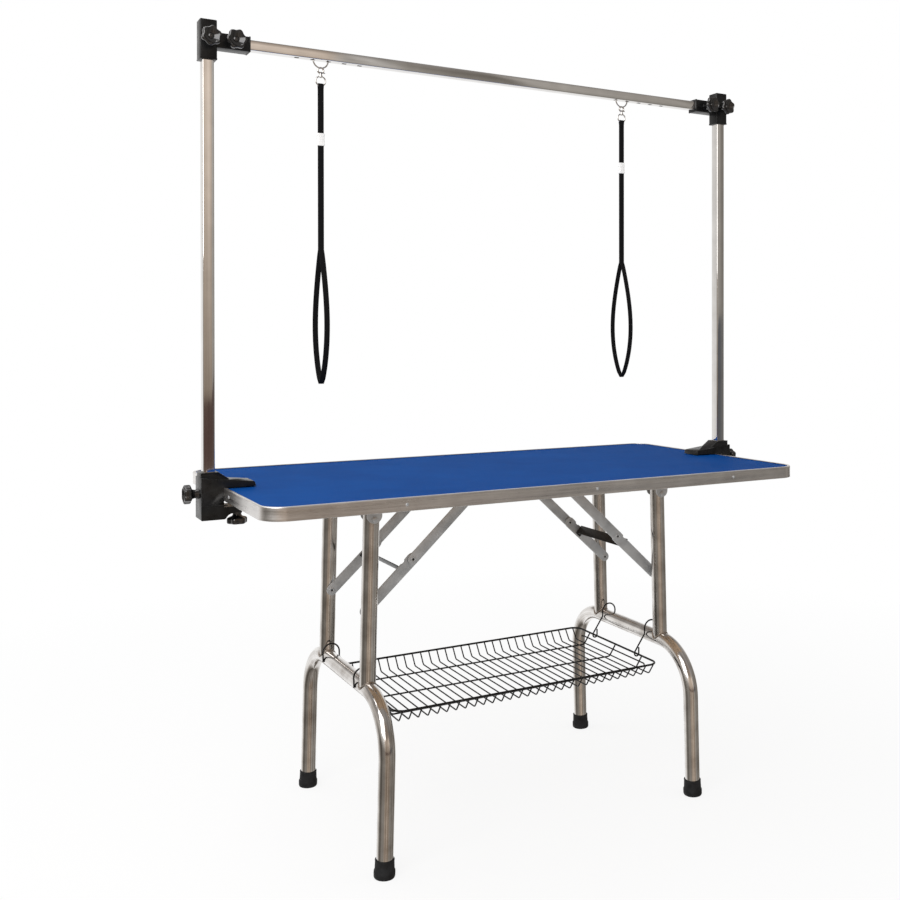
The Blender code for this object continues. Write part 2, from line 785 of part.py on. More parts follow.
def build_clamp(label, side, side_hub):
    """A cast C clamp on the table end with a post socket, a side knob and a screw."""
    y = side * ARM_Y
    edge = TOP_LENGTH / 2 + GAP
    jaw_bottom = TOP_HEIGHT + GAP
    lower_top = UNDERSIDE - 0.012
    lower_bottom = CLAMP_BOTTOM + 0.0115
    lower_tip = SCREW_X - 0.017
    outline = [
        (CLAMP_OUTER, CLAMP_BOTTOM),
        (CLAMP_OUTER, CLAMP_SHOULDER),
        (JAW_TIP + 0.003, JAW_TIP_TOP),
        (JAW_TIP, jaw_bottom),
        (edge, jaw_bottom),
        (edge, lower_top),
        (lower_tip, lower_top),
        (lower_tip, lower_bottom),
        (edge - 0.010, lower_bottom),
        (edge - 0.004, CLAMP_BOTTOM),
    ]
    collar_outer = CLAMP_OUTER - 0.0005
    collar_root = CLAMP_SHOULDER - 0.010
    collar_outline = [
        (collar_outer, collar_root),
        (collar_outer, CLAMP_TOP),
        (COLLAR_INNER, CLAMP_TOP),
        (COLLAR_INNER - 0.0195, JAW_TIP_TOP + 0.006),
        (COLLAR_INNER - 0.0195, collar_root),
    ]
    turn = (math.pi / 2, 0, 0)
    body = plate_shape(outline, CLAMP_WIDTH)
    clamp = add_object(f"{label}_clamp", body, side_hub, (0, y, 0), turn, BLACK)
    collar = plate_shape(collar_outline, COLLAR_DEPTH)
    join(clamp, add_object(f"{label}_clamp_collar", collar, side_hub, (0, y, 0), turn))
    socket_side = POST_SIDE + 2 * GAP
    socket = box_shape((socket_side, socket_side, 0.2), (POST_X, y, PIVOT_Z + 0.04))
    screw_hole = rod_shape(0.0043, 0.04, (SCREW_X, y, lower_top), segments=12)
    knob_hole = rod_shape(0.0043, 0.03, (CLAMP_OUTER, y, SIDE_KNOB_Z), "X", 12)
    cut(
        clamp,
        add_object(f"{label}_clamp_socket", socket, side_hub),
        add_object(f"{label}_clamp_screw_hole", screw_hole, side_hub),
        add_object(f"{label}_clamp_knob_hole", knob_hole, side_hub),
    )
    stem_reach = CLAMP_OUTER - (POST_X + POST_SIDE / 2) - 0.001
    build_knob(
        f"{label}_clamp_knob",
        side_hub,
        SIDE_KNOB_RADIUS,
        SIDE_KNOB_HEIGHT,
        SIDE_KNOB_NECK,
        stem_reach,
        (CLAMP_OUTER + 0.0003, y, SIDE_KNOB_Z),
        (0, math.pi / 2, 0),
    )
    pad_top = UNDERSIDE - GAP
    pad_height = 0.005
    pad_profile = (
        (0, pad_top),
        (0.011, pad_top),
        (0.012, pad_top - 0.001),
        (0.012, pad_top - pad_height),
        (0, pad_top - pad_height),
    )
    pad_place = {"location": (SCREW_X, y, 0)}
    turned_object(f"{label}_clamp_pad", pad_profile, side_hub, RUBBER, 16, **pad_place)
    screw_base = CLAMP_BOTTOM + 0.010
    build_knob(
        f"{label}_clamp_screw",
        side_hub,
        SCREW_KNOB_RADIUS,
        SCREW_KNOB_HEIGHT,
        SCREW_KNOB_NECK,
        pad_top - pad_height - GAP - screw_base,
        (SCREW_X, y, screw_base),
        (math.pi, 0, 0),
    )


# ---- Overhead arm -----------------------------------------------------------------
def build_post(label, side, side_hub):
    """A square tube from the clamp socket up into the corner bracket."""
    top = SLEEVE_TOP - 0.005
    height = top - POST_BOTTOM
    centre = (POST_X, side * ARM_Y, POST_BOTTOM + height / 2)
    outline = rounded_rectangle(POST_SIDE / 2, POST_SIDE / 2, 0.002, 2)
    post = add_object(f"{label}_post", plate_shape(outline, height), side_hub, centre, finish=CHROME)
    inside = POST_SIDE - 2 * POST_WALL
    bore = box_shape((inside, inside, height + 0.01), centre)
    cut(post, add_object(f"{label}_post_bore", bore, side_hub))


def build_corner_bracket(label, side, side_hub):
    """A closed-top sleeve on the post, a sleeve for the bar, and two locking knobs."""
    y = side * ARM_Y
    size_x, size_y, size_z = SLEEVE_SIZE
    upright = box_shape(SLEEVE_SIZE, (POST_X, y, SLEEVE_TOP - size_z / 2))
    bracket = add_object(f"{label}_corner_bracket", upright, side_hub, finish=BLACK)
    soften(bracket, 0.0015)
    arm_length = POST_X - SLEEVE_ARM_END
    arm_centre = (SLEEVE_ARM_END + arm_length / 2, y, BAR_Z)
    arm = box_shape((arm_length, size_y - 0.001, SLEEVE_ARM_HEIGHT), arm_centre)
    arm = soften(add_object(f"{label}_bracket_arm", arm, side_hub), 0.0012)
    post_side = POST_SIDE + 2 * GAP
    post_top = SLEEVE_TOP - 0.005 + GAP
    post_socket = box_shape((post_side, post_side, 0.2), (POST_X, y, post_top - 0.1))
    bar_side = BAR_SIDE + 2 * GAP
    bar_end = BAR_HALF_LENGTH + GAP
    bar_socket = box_shape((0.2, bar_side, bar_side), (bar_end - 0.1, y, BAR_Z))
    join(bracket, arm)
    cut(
        bracket,
        add_object(f"{label}_post_socket", post_socket, side_hub),
        add_object(f"{label}_bar_socket", bar_socket, side_hub),
    )
    front = -size_y / 2 + side * y
    for name, x in (("outer", POST_X), ("inner", POST_X - KNOB_PITCH)):
        hole_centre = (x, side * front, BAR_Z)
        hole = rod_shape(0.0043, 0.016, hole_centre, "Y", 12)
        cut(bracket, add_object(f"{label}_{name}_stem_hole", hole, side_hub))
        build_knob(
            f"{label}_{name}_bracket_knob",
            side_hub,
            BRACKET_KNOB_RADIUS,
            BRACKET_KNOB_HEIGHT,
            BRACKET_KNOB_NECK,
            BRACKET_KNOB_STEM,
            (x, side * (front - 0.0006), BAR_Z),
            (math.pi / 2 * side, 0, 0),
        )


def build_bar():
    """The square top bar, slotted underneath near both ends for the noose rings."""
    centre = (0, ARM_Y, BAR_Z)
    outline = rounded_rectangle(BAR_SIDE / 2, BAR_SIDE / 2, 0.002, 2)
    shape = plate_shape(outline, 2 * BAR_HALF_LENGTH)
    bar = add_object("top_bar", shape, None, centre, (0, math.pi / 2, 0), CHROME)
    inside = BAR_SIDE - 2 * POST_WALL
    bore = box_shape((2 * BAR_HALF_LENGTH + 0.01, inside, inside), centre)
    cut(bar, add_object("bar_bore", bore, None))
    for sign in SIDES.values():
        for index in range(SLOT_COUNT):
            x = sign * (SLOT_FIRST + index * SLOT_PITCH)
            slot = box_shape((SLOT_LENGTH, SLOT_WIDTH, 0.006), (x, ARM_Y, BAR_Z - BAR_SIDE / 2))
            cut(bar, add_object(f"bar_slot_{sign}_{index}", slot, None))


# ---- Nooses -------------------------------------------------------------------------
def strap_outline(grow):
    """A small eye, then two parallel strands that open into a loop, widened by grow."""
    half = STRAP_GAP / 2 + grow
    neck = -NOOSE_LENGTH + LOOP_LENGTH
    side = arc((0, -EYE_DROP), EYE_WIRE + GAP + grow, 90, 0, 4)
    side += [(half, -EYE_DROP - 0.009), (half, neck)]
    steps = 14
    for index in range(1, steps):
        part = index / steps
        swell = math.sin(math.pi * part) ** 0.8 * (0.55 + 0.45 * part)
        side.append((half + LOOP_HALF_WIDTH * swell, neck - (LOOP_LENGTH + grow) * part))
    side.append((0, neck - LOOP_LENGTH - grow))
    mirrored = [(-x, z) for x, z in reversed(side[1:-1])]
    return side + mirrored


def build_noose(label, x):
    """A ring through two bar slots, a snap under it, a strap loop and its slider."""
    ring_z = BAR_Z - BAR_SIDE / 2 + POST_WALL / 2
    hub = new_empty(f"{label}_noose", None, (x, ARM_Y, ring_z))
    ring_points = [(px, 0, pz) for px, pz in arc((0, 0), NOOSE_RING, 0, 337.5, 15)]
    ring = wire_shape(ring_points, NOOSE_WIRE, 1, True)
    clip = add_object(f"{label}_noose_snap", ring, hub, finish=CHROME)
    profile = (
        (0, -0.0150),
        (0.0035, -0.0155),
        (0.0045, -0.0170),
        (0.0045, -0.0225),
        (0.0028, -0.0240),
        (0.0028, -0.0345),
        (0.0040, -0.0355),
        (0.0040, -0.0405),
        (0, -0.0410),
    )
    eye_half = STRAP_WIDTH / 2 + EYE_WIRE + 0.001
    eye_top = -EYE_DROP + 0.0115
    eye_points = [
        (eye_half, 0, -EYE_DROP),
        (eye_half, 0, eye_top),
        (-eye_half, 0, eye_top),
        (-eye_half, 0, -EYE_DROP),
    ]
    eye = wire_shape(eye_points, EYE_WIRE, 1, True)
    join(
        clip,
        turned_object(f"{label}_snap_body", profile, hub, None, 12),
        add_object(f"{label}_snap_eye", eye, hub),
    )
    turn = (math.pi / 2, 0, math.pi / 2)
    shape = plate_shape(strap_outline(STRAP_THICKNESS), STRAP_WIDTH, [strap_outline(0)])
    add_object(f"{label}_noose_strap", shape, hub, rotation=turn, finish=STRAP)
    slider_centre = (0, 0, -SLIDER_DROP - SLIDER_SIZE[2] / 2)
    slider = box_shape(SLIDER_SIZE, slider_centre)
    slider = add_object(f"{label}_noose_slider", slider, hub, finish=WHITE)
    slot_size = (
        STRAP_WIDTH + 2 * GAP,
        STRAP_GAP + 2 * STRAP_THICKNESS + 2 * GAP,
        SLIDER_SIZE[2] + 0.01,
    )
    slot = box_shape(slot_size, slider_centre)
    cut(slider, add_object(f"{label}_slider_slot", slot, hub))


clear_scene()
PARTS = new_collection("grooming_table")
CUTTERS = new_collection("cutters")
WOOD = new_material("board", (0.42, 0.30, 0.20), 0.7)
MAT = new_material("blue_mat", (0.010, 0.060, 0.270), 0.6)
ALUMINIUM = new_material("aluminium", (0.66, 0.64, 0.62), 0.35, 1.0)
STEEL = new_material("steel_tube", (0.56, 0.54, 0.52), 0.28, 1.0)
CHROME = new_material("polished_steel", (0.68, 0.67, 0.66), 0.18, 1.0)
ZINC = new_material("zinc_plate", (0.52, 0.53, 0.54), 0.40, 1.0)
BLACK = new_material("black_casting", (0.020, 0.021, 0.023), 0.45)
GLOSS_BLACK = new_material("black_knob", (0.012, 0.012, 0.013), 0.22)
BLACK_WIRE = new_material("black_wire", (0.014, 0.014, 0.015), 0.40)
RUBBER = new_material("rubber", (0.018, 0.018, 0.019), 0.75)
STRAP = new_material("black_strap", (0.012, 0.012, 0.013), 0.80)
WHITE = new_material("white_slider", (0.80, 0.80, 0.79), 0.40)

build_top()
for side_label, side_sign in SIDES.items():
    half_turn = 0 if side_sign > 0 else math.pi
    side_space = new_empty(f"{side_label}_side", rotation=(0, 0, half_turn))
    leg_frame = build_leg_frame(side_label, side_sign, side_space)
    build_stays(side_label, side_sign, side_space, leg_frame)
    hook_offset = LEFT_HOOK_Y if side_label == "left" else RIGHT_HOOK_Y
    build_hooks(side_label, side_sign, side_space, hook_offset)
    build_clamp(side_label, side_sign, side_space)
    build_post(side_label, side_sign, side_space)
    build_corner_bracket(side_label, side_sign, side_space)
build_tray()
build_bar()
build_noose("left", -(SLOT_FIRST + 2.5 * SLOT_PITCH))
build_noose("right", SLOT_FIRST + 0.5 * SLOT_PITCH)
bpy.context.view_layer.update()
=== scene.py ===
"""Looks of a folding pet grooming table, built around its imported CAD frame.

Units are metres, +Z is up and -Y is the front. Each half of the table is laid out in its own
side space, where +X points outward; the left half is the right half turned half a turn about Z.
"""
import json
import math

import bmesh
import bpy
from mathutils import Matrix, Vector


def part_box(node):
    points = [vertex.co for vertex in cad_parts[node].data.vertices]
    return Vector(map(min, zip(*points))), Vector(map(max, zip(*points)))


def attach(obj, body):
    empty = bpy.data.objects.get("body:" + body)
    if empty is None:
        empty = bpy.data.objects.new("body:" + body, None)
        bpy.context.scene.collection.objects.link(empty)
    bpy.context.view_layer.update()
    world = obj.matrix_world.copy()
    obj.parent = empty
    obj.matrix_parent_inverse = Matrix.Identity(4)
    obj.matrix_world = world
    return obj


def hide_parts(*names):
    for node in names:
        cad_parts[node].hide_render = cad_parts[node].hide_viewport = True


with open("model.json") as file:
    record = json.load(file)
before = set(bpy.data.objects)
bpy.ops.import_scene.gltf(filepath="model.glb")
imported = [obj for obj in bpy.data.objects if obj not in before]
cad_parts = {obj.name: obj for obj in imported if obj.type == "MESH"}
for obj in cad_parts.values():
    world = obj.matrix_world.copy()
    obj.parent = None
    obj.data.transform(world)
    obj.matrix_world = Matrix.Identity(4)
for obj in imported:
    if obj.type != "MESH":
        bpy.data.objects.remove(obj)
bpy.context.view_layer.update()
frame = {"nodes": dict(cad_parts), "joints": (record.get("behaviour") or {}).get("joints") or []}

SIDES = {"left": -1, "right": 1}
ENDS = {"front": -1, "rear": 1}
SIDE_SPACE = {"left": Matrix.Rotation(math.pi, 4, "Z"), "right": Matrix.Identity(4)}
FACING_FRONT = Matrix.Rotation(math.pi / 2, 4, "X")  # turns +Z to -Y


# ---- Places and sizes taken from the frame
def joint_at(name):
    found = next(joint for joint in frame["joints"] if joint["name"] == name)
    return Vector(found["pos_m"])


def size_of(node):
    low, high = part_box(node)
    return high - low


def middle_of(node):
    low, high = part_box(node)
    return (low + high) / 2


PIVOT = joint_at("right_leg_fold")
STAY_FOOT = joint_at("right_lower_stay_fold")
STAY_HEAD = joint_at("right_upper_stay_fold")
BAR = joint_at("tray_hang")
LEAN = math.atan2(STAY_FOOT.x - PIVOT.x, PIVOT.z - STAY_FOOT.z)
LEG_SPACE = Matrix.Translation(PIVOT) @ Matrix.Rotation(-LEAN, 4, "Y")
TUBE = size_of("right_front_leg_tube").y / 2
UPPER_Y = abs(middle_of("right_front_leg_tube").y)
FOOT_Y = abs(middle_of("right_front_foot_cap").y)
HOOP_DROP = (PIVOT - BAR).length
HOOP_BEND = 0.100
TOP_LOW, TOP_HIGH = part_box("edge_trim")
UNDERSIDE = TOP_LOW.z
TOP_CORNER = 0.045


# ---- Mesh helpers
def piece(name, shape, body, material, replaced=(), space=None, angle=35, second=None):
    """Makes an object of a bmesh, in place, and lets it ride on a body."""
    if space is not None:
        shape.transform(space)
    bmesh.ops.recalc_face_normals(shape, faces=shape.faces)
    made = new_object(name, shape)
    made.data.materials.append(material)
    if second is not None:
        made.data.materials.append(second)
    made.data.shade_smooth()
    made.data.set_sharp_from_angle(angle=math.radians(angle))
    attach(made, body)
    if replaced:
        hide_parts(*replaced)
    return made


def arc(centre, radius, start, end, steps):
    """Points on a circle between two angles in degrees, both ends included."""
    x, y = centre
    angles = [math.radians(start + (end - start) * index / steps) for index in range(steps + 1)]
    return [(x + radius * math.cos(angle), y + radius * math.sin(angle)) for angle in angles]


def circle(radius, sides=32):
    return arc((0, 0), radius, 0, 360 - 360 / sides, sides - 1)


def rounded_rectangle(half_x, half_y, radius, steps=8):
    corners = ((1, 1, 0), (-1, 1, 90), (-1, -1, 180), (1, -1, 270))
    outline = []
    for sign_x, sign_y, start in corners:
        centre = (sign_x * (half_x - radius), sign_y * (half_y - radius))
        outline += arc(centre, radius, start, start + 90, steps)
    return outline


def skin(shape, rings, across, along, closed=False):
    """Faces between rings of vertices, and caps if the rings don't close, with UVs in metres."""
    uv = shape.loops.layers.uv.verify()
    count = len(rings[0])
    for row in range(len(rings) if closed else len(rings) - 1):
        lower, upper = rings[row], rings[(row + 1) % len(rings)]
        quad = ((lower, 0, row), (lower, 1, row), (upper, 1, row + 1), (upper, 0, row + 1))
        for index in range(count):
            corners = {}
            for ring, step, level in quad:
                vert = ring[(index + step) % count]
                corners.setdefault(vert, (across[index + step], along[level]))
            if len(corners) < 3:
                continue
            face = shape.faces.new(tuple(corners))
            for loop, place in zip(face.loops, corners.values()):
                loop[uv].uv = place
    if not closed:
        for ring in (rings[0], rings[-1]):
            if len(set(ring)) > 2:
                shape.faces.new(ring)


def distances(points, closed=True):
    """Running distance along points, with one more value for the closing step."""
    total = [0.0]
    count = len(points)
    for index in range(count if closed else count - 1):
        step = Vector(points[(index + 1) % count]) - Vector(points[index])
        total.append(total[-1] + step.length)
    return total


def sweep(shape, path, profile, closed=False, hint=(0, 1, 0)):
    """Adds a profile of (along the hint, across it) points, swept along a path."""
    points = [Vector(point) for point in path]
    count = len(points)
    rings = []
    normal = Vector(hint)
    for index, point in enumerate(points):
        before = points[index - 1] if closed or index else point
        after = points[(index + 1) % count] if closed or index < count - 1 else point
        tangent = (after - before).normalized()
        normal = (normal - tangent * normal.dot(tangent)).normalized()
        across = tangent.cross(normal)
        rings.append([shape.verts.new(point + normal * a + across * b) for a, b in profile])
    skin(shape, rings, distances(profile), distances(points, closed), closed)


def turned(shape, profile, space=Matrix.Identity(4), steps=32):
    """Adds a solid turned about the space's Z from (radius, height) points."""
    rings = []
    for radius, height in profile:
        if radius < 1e-6:
            rings.append([shape.verts.new(space @ Vector((0, 0, height)))] * steps)
            continue
        ring = circle(radius, steps)
        rings.append([shape.verts.new(space @ Vector((x, y, height))) for x, y in ring])
    widest = max(radius for radius, _ in profile)
    skin(shape, rings, distances(circle(widest, steps)), distances(profile, False))


def new_object(name, shape):
    """Makes a linked object of a bmesh, and frees the bmesh."""
    data = bpy.data.meshes.new(name)
    shape.to_mesh(data)
    shape.free()
    made = bpy.data.objects.new(name, data)
    bpy.context.scene.collection.objects.link(made)
    return made


def bevel(shape, edges, width, segments, clamp=False):
    bmesh.ops.bevel(
        shape, geom=list(edges), offset=width, segments=segments, profile=0.5,
        affect="EDGES", clamp_overlap=clamp,
    )


def rounded_box(shape, size, centre, edge, space=Matrix.Identity(4), segments=3):
    made = bmesh.ops.create_cube(shape, size=1.0)["verts"]
    bmesh.ops.scale(shape, vec=size, verts=made)
    bmesh.ops.translate(shape, vec=centre, verts=made)
    bmesh.ops.transform(shape, matrix=space, verts=made)
    bevel(shape, {link for vert in made for link in vert.link_edges}, edge, segments)


def plate(shape, outline, thickness, edge, space=Matrix.Identity(4), segments=2):
    """Adds an outline in XY, extruded half the thickness each way, with rounded edges."""
    rings = []
    for height in (-thickness / 2, thickness / 2):
        rings.append([shape.verts.new(space @ Vector((x, y, height))) for x, y in outline])
    caps = [shape.faces.new(ring) for ring in rings]
    lower, upper = rings
    for index in range(len(outline)):
        follow = (index + 1) % len(outline)
        shape.faces.new((lower[index], lower[follow], upper[follow], upper[index]))
    bevel(shape, {link for cap in caps for link in cap.edges}, edge, segments, True)


def dome(radius, height, base=0.0, steps=6):
    """A profile for turned(): a shallow domed head standing on a base height."""
    points = [(0.0, base + height)]
    for index in range(1, steps + 1):
        angle = math.pi / 2 * index / steps
        points.append((radius * math.sin(angle), base + height * math.cos(angle)))
    points.append((radius, base - 0.0005))
    points.append((0.0, base - 0.0005))
    return points


# ---- Materials
def add_node(tree, kind, inputs=None, **settings):
    made = tree.nodes.new(kind)
    for key, value in settings.items():
        setattr(made, key, value)
    for key, value in (inputs or {}).items():
        socket = made.inputs[key]
        if isinstance(value, bpy.types.NodeSocket):
            tree.links.new(value, socket)
        else:
            socket.default_value = value
    return made


def math_of(tree, operation, first, second=0.0):
    made = add_node(tree, "ShaderNodeMath", {0: first, 1: second}, operation=operation)
    return made.outputs["Value"]


def object_place(tree):
    return add_node(tree, "ShaderNodeTexCoord").outputs["Object"]


def stretched(tree, place, scale):
    return add_node(tree, "ShaderNodeMapping", {"Vector": place, "Scale": scale}).outputs["Vector"]


def new_material(name, colour, roughness, metallic=0.0, specular=0.5):
    made = bpy.data.materials.new(name)
    made.use_nodes = True
    shader = made.node_tree.nodes["Principled BSDF"]
    shader.inputs["Base Color"].default_value = (*colour, 1)
    shader.inputs["Roughness"].default_value = roughness
    shader.inputs["Metallic"].default_value = metallic
    shader.inputs["Specular IOR Level"].default_value = specular
    return made, made.node_tree, shader


def drive(tree, shader, **sockets):
    """Links colour=... and rough=... to the shader."""
    names = {"colour": "Base Color", "rough": "Roughness"}
    for key, value in sockets.items():
        tree.links.new(value, shader.inputs[names[key]])


def noise_of(tree, vector, scale, detail=3.0, roughness=0.55):
    settings = {"Vector": vector, "Scale": scale, "Detail": detail, "Roughness": roughness}
    return add_node(tree, "ShaderNodeTexNoise", settings).outputs["Fac"]


def spread(tree, factor, low, high, source=(0.3, 0.7)):
    """Maps a noise value to a range."""
    inputs = {"Value": factor, "From Min": source[0], "From Max": source[1]}
    inputs |= {"To Min": low, "To Max": high}
    return add_node(tree, "ShaderNodeMapRange", inputs).outputs["Result"]


def shade(tree, factor, first, second):
    """A colour between two colours or sockets, by a factor from 0 to 1."""
    mixed = add_node(tree, "ShaderNodeMix", {"Factor": factor}, data_type="RGBA")
    for index, colour in ((6, first), (7, second)):
        if isinstance(colour, bpy.types.NodeSocket):
            tree.links.new(colour, mixed.inputs[index])
        else:
            mixed.inputs[index].default_value = (*colour, 1)
    return mixed.outputs[2]


def bump(tree, shader, height, strength, distance=0.0005):
    inputs = {"Height": height, "Strength": strength, "Distance": distance}
    made = add_node(tree, "ShaderNodeBump", inputs)
    tree.links.new(made.outputs["Normal"], shader.inputs["Normal"])


def brushed_metal(name, dark, light, rough, across, along, depth):
    """Metal with fine streaks that run along the piece's V direction, and faint stains."""
    made, tree, shader = new_material(name, light, rough[0], 1.0)
    place = add_node(tree, "ShaderNodeTexCoord").outputs["UV"]
    streak = noise_of(tree, stretched(tree, place, (across, along, 1.0)), 1.0, 4.0, 0.65)
    band = noise_of(tree, stretched(tree, place, (across / 9, along / 4, 1.0)), 1.0, 2.0)
    stain = noise_of(tree, object_place(tree), 22.0, 4.0)
    both = math_of(tree, "ADD", streak, band)
    mixed = math_of(tree, "ADD", both, stain)
    tone = spread(tree, mixed, 0.0, 1.0, (1.1, 1.8))
    dullness = spread(tree, both, *rough, (0.7, 1.3))
    drive(tree, shader, colour=shade(tree, tone, dark, light), rough=dullness)
    bump(tree, shader, streak, depth, 0.0002)
    return made


def zinc_plate():
    made, tree, shader = new_material("zinc_plate", (0.60, 0.61, 0.62), 0.42, 0.55)
    place = object_place(tree)
    grain = noise_of(tree, place, 420.0, 5.0, 0.7)
    cloud = noise_of(tree, place, 38.0, 3.0)
    colour = shade(tree, spread(tree, cloud, 0, 1), (0.40, 0.41, 0.42), (0.55, 0.56, 0.57))
    drive(tree, shader, colour=colour, rough=spread(tree, grain, 0.34, 0.50))
    bump(tree, shader, grain, 0.18, 0.0003)
    return made


def chrome():
    made, tree, shader = new_material("chrome", (0.72, 0.71, 0.70), 0.08, 1.0)
    place = object_place(tree)
    haze = noise_of(tree, place, 160.0, 3.0)
    drive(tree, shader, rough=spread(tree, haze, 0.05, 0.17))
    return made


def weld():
    made, tree, shader = new_material("weld", (0.42, 0.36, 0.30), 0.38, 1.0)
    place = object_place(tree)
    ripple = noise_of(tree, place, 620.0, 2.0)
    tint = noise_of(tree, place, 90.0, 2.0)
    colour = shade(tree, spread(tree, tint, 0, 1), (0.30, 0.24, 0.19), (0.58, 0.55, 0.52))
    drive(tree, shader, colour=colour)
    bump(tree, shader, ripple, 0.6, 0.0006)
    return made


def painted(name, colour, rough, grain_scale, depth, specular):
    """Black paint, coating or rubber: a fine orange peel and scattered dull patches."""
    made, tree, shader = new_material(name, colour, rough[0], specular=specular)
    place = object_place(tree)
    peel = noise_of(tree, place, grain_scale, 3.0)
    patch = noise_of(tree, place, 60.0, 4.0)
    worn = tuple(min(1.0, part * 1.9 + 0.004) for part in colour)
    tone = shade(tree, spread(tree, patch, 0, 1), colour, worn)
    drive(tree, shader, colour=tone, rough=spread(tree, patch, *rough))
    bump(tree, shader, peel, depth, 0.0004)
    return made


def blue_mat():
    """Pebbled rubber: a fine leather-like grain, nearly matt, in slightly uneven blue."""
    made, tree, shader = new_material("blue_mat", (0.008, 0.062, 0.285), 0.60, specular=0.02)
    place = object_place(tree)
    pebble = add_node(
        tree, "ShaderNodeTexVoronoi", {"Vector": place, "Scale": 420.0}, feature="SMOOTH_F1"
    ).outputs["Distance"]
    cloud = noise_of(tree, place, 9.0, 5.0, 0.6)
    fleck = noise_of(tree, place, 700.0, 2.0)
    clouds = spread(tree, cloud, 0, 1)
    colour = shade(tree, clouds, (0.0012, 0.052, 0.235), (0.0024, 0.066, 0.285))
    drive(tree, shader, colour=colour, rough=spread(tree, fleck, 0.52, 0.70))
    bump(tree, shader, pebble, 0.30, 0.0004)
    return made


def webbing():
    """Black nylon webbing: diagonal ribs over cords that run along the strap."""
    made, tree, shader = new_material("webbing", (0.008, 0.008, 0.009), 0.80, specular=0.15)
    place = add_node(tree, "ShaderNodeTexCoord").outputs["UV"]
    waves = []
    for scale, distortion, direction in ((260.0, 0.4, "DIAGONAL"), (190.0, 0.2, "X")):
        inputs = {"Vector": place, "Scale": scale, "Distortion": distortion}
        wave = add_node(tree, "ShaderNodeTexWave", inputs, bands_direction=direction)
        waves.append(wave.outputs["Fac"])
    weave = math_of(tree, "MULTIPLY", *waves)
    colour = shade(tree, weave, (0.0025, 0.0025, 0.003), (0.011, 0.011, 0.012))
    drive(tree, shader, colour=colour)
    bump(tree, shader, weave, 0.7, 0.0004)
    return made


def white_plastic():
    made, tree, shader = new_material("white_plastic", (0.80, 0.79, 0.78), 0.35)
    place = object_place(tree)
    mould = noise_of(tree, place, 500.0, 3.0)
    drive(tree, shader, rough=spread(tree, mould, 0.30, 0.45))
    bump(tree, shader, mould, 0.08, 0.0002)
    return made


def board_wood():
    """Pale laminated board, seen only from below."""
    made, tree, shader = new_material("board", (0.40, 0.28, 0.18), 0.55)
    place = object_place(tree)
    grain = noise_of(tree, stretched(tree, place, (3.0, 42.0, 3.0)), 4.0, 6.0, 0.65)
    colour = shade(tree, spread(tree, grain, 0, 1), (0.24, 0.15, 0.085), (0.50, 0.37, 0.25))
    drive(tree, shader, colour=colour)
    bump(tree, shader, grain, 0.15, 0.0004)
    return made


STEEL = brushed_metal(
    "leg_steel", (0.36, 0.325, 0.295), (0.97, 0.955, 0.94), (0.11, 0.18), 1100.0, 2.0, 0.10
)
POLISHED = brushed_metal(
    "arm_steel", (0.66, 0.65, 0.64), (0.86, 0.85, 0.84), (0.03, 0.07), 1800.0, 5.0, 0.015
)
TRIM = brushed_metal(
    "trim_aluminium", (0.68, 0.655, 0.64), (0.95, 0.93, 0.915), (0.24, 0.36), 1500.0, 14.0, 0.10
)
ZINC = zinc_plate()
CHROME = chrome()
WELD = weld()
CASTING = painted("black_casting", (0.0028, 0.0029, 0.0031), (0.24, 0.36), 700.0, 0.10, 0.30)
KNOB = painted("knob_black", (0.0025, 0.0025, 0.0028), (0.10, 0.20), 300.0, 0.02, 1.0)
COATING = painted("wire_coating", (0.0028, 0.0028, 0.003), (0.28, 0.42), 900.0, 0.08, 0.25)
RUBBER = painted("foot_rubber", (0.007, 0.007, 0.0075), (0.55, 0.75), 1300.0, 0.22, 0.25)
MAT = blue_mat()
STRAP = webbing()
WHITE = white_plastic()
WOOD = board_wood()


# ---- Table top
def paint_node(name, material):
    data = frame["nodes"][name].data
    data.materials.clear()
    data.materials.append(material)


def build_top():
    paint_node("rubber_mat", MAT)
    paint_node("table_board", WOOD)
    half_x = TOP_HIGH.x
    half_y = TOP_HIGH.y
    lip, lower_lip, wall, edge = 0.006, 0.010, 0.0015, 0.0016
    low, high = TOP_LOW.z, TOP_HIGH.z
    profile = [(lower_lip, low)]
    profile += arc((edge, low + edge), edge, 270, 180, 5)
    profile += [(0.0004, low + 0.0062), (0.0004, high - 0.0062)]
    profile += arc((edge, high - edge), edge, 180, 90, 5)
    nose = wall / 2
    profile += arc((lip - nose, high - nose), nose, 90, -90, 4)
    profile += [(wall, high - wall), (wall, low + wall), (lower_lip, low + wall)]
    shape = bmesh.new()
    rings = []
    for inset, height in profile:
        outline = rounded_rectangle(half_x - inset, half_y - inset, TOP_CORNER - inset, 14)
        rings.append([shape.verts.new((x, y, height)) for x, y in outline])
    lengths = distances(rounded_rectangle(half_x, half_y, TOP_CORNER, 14))
    columns = [[ring[index] for ring in rings] for index in range(len(rings[0]))]
    skin(shape, columns, distances(profile), lengths, closed=True)
    piece("trim_channel", shape, "table_top", TRIM, ["edge_trim"])
    build_trim_screws(half_x, half_y)


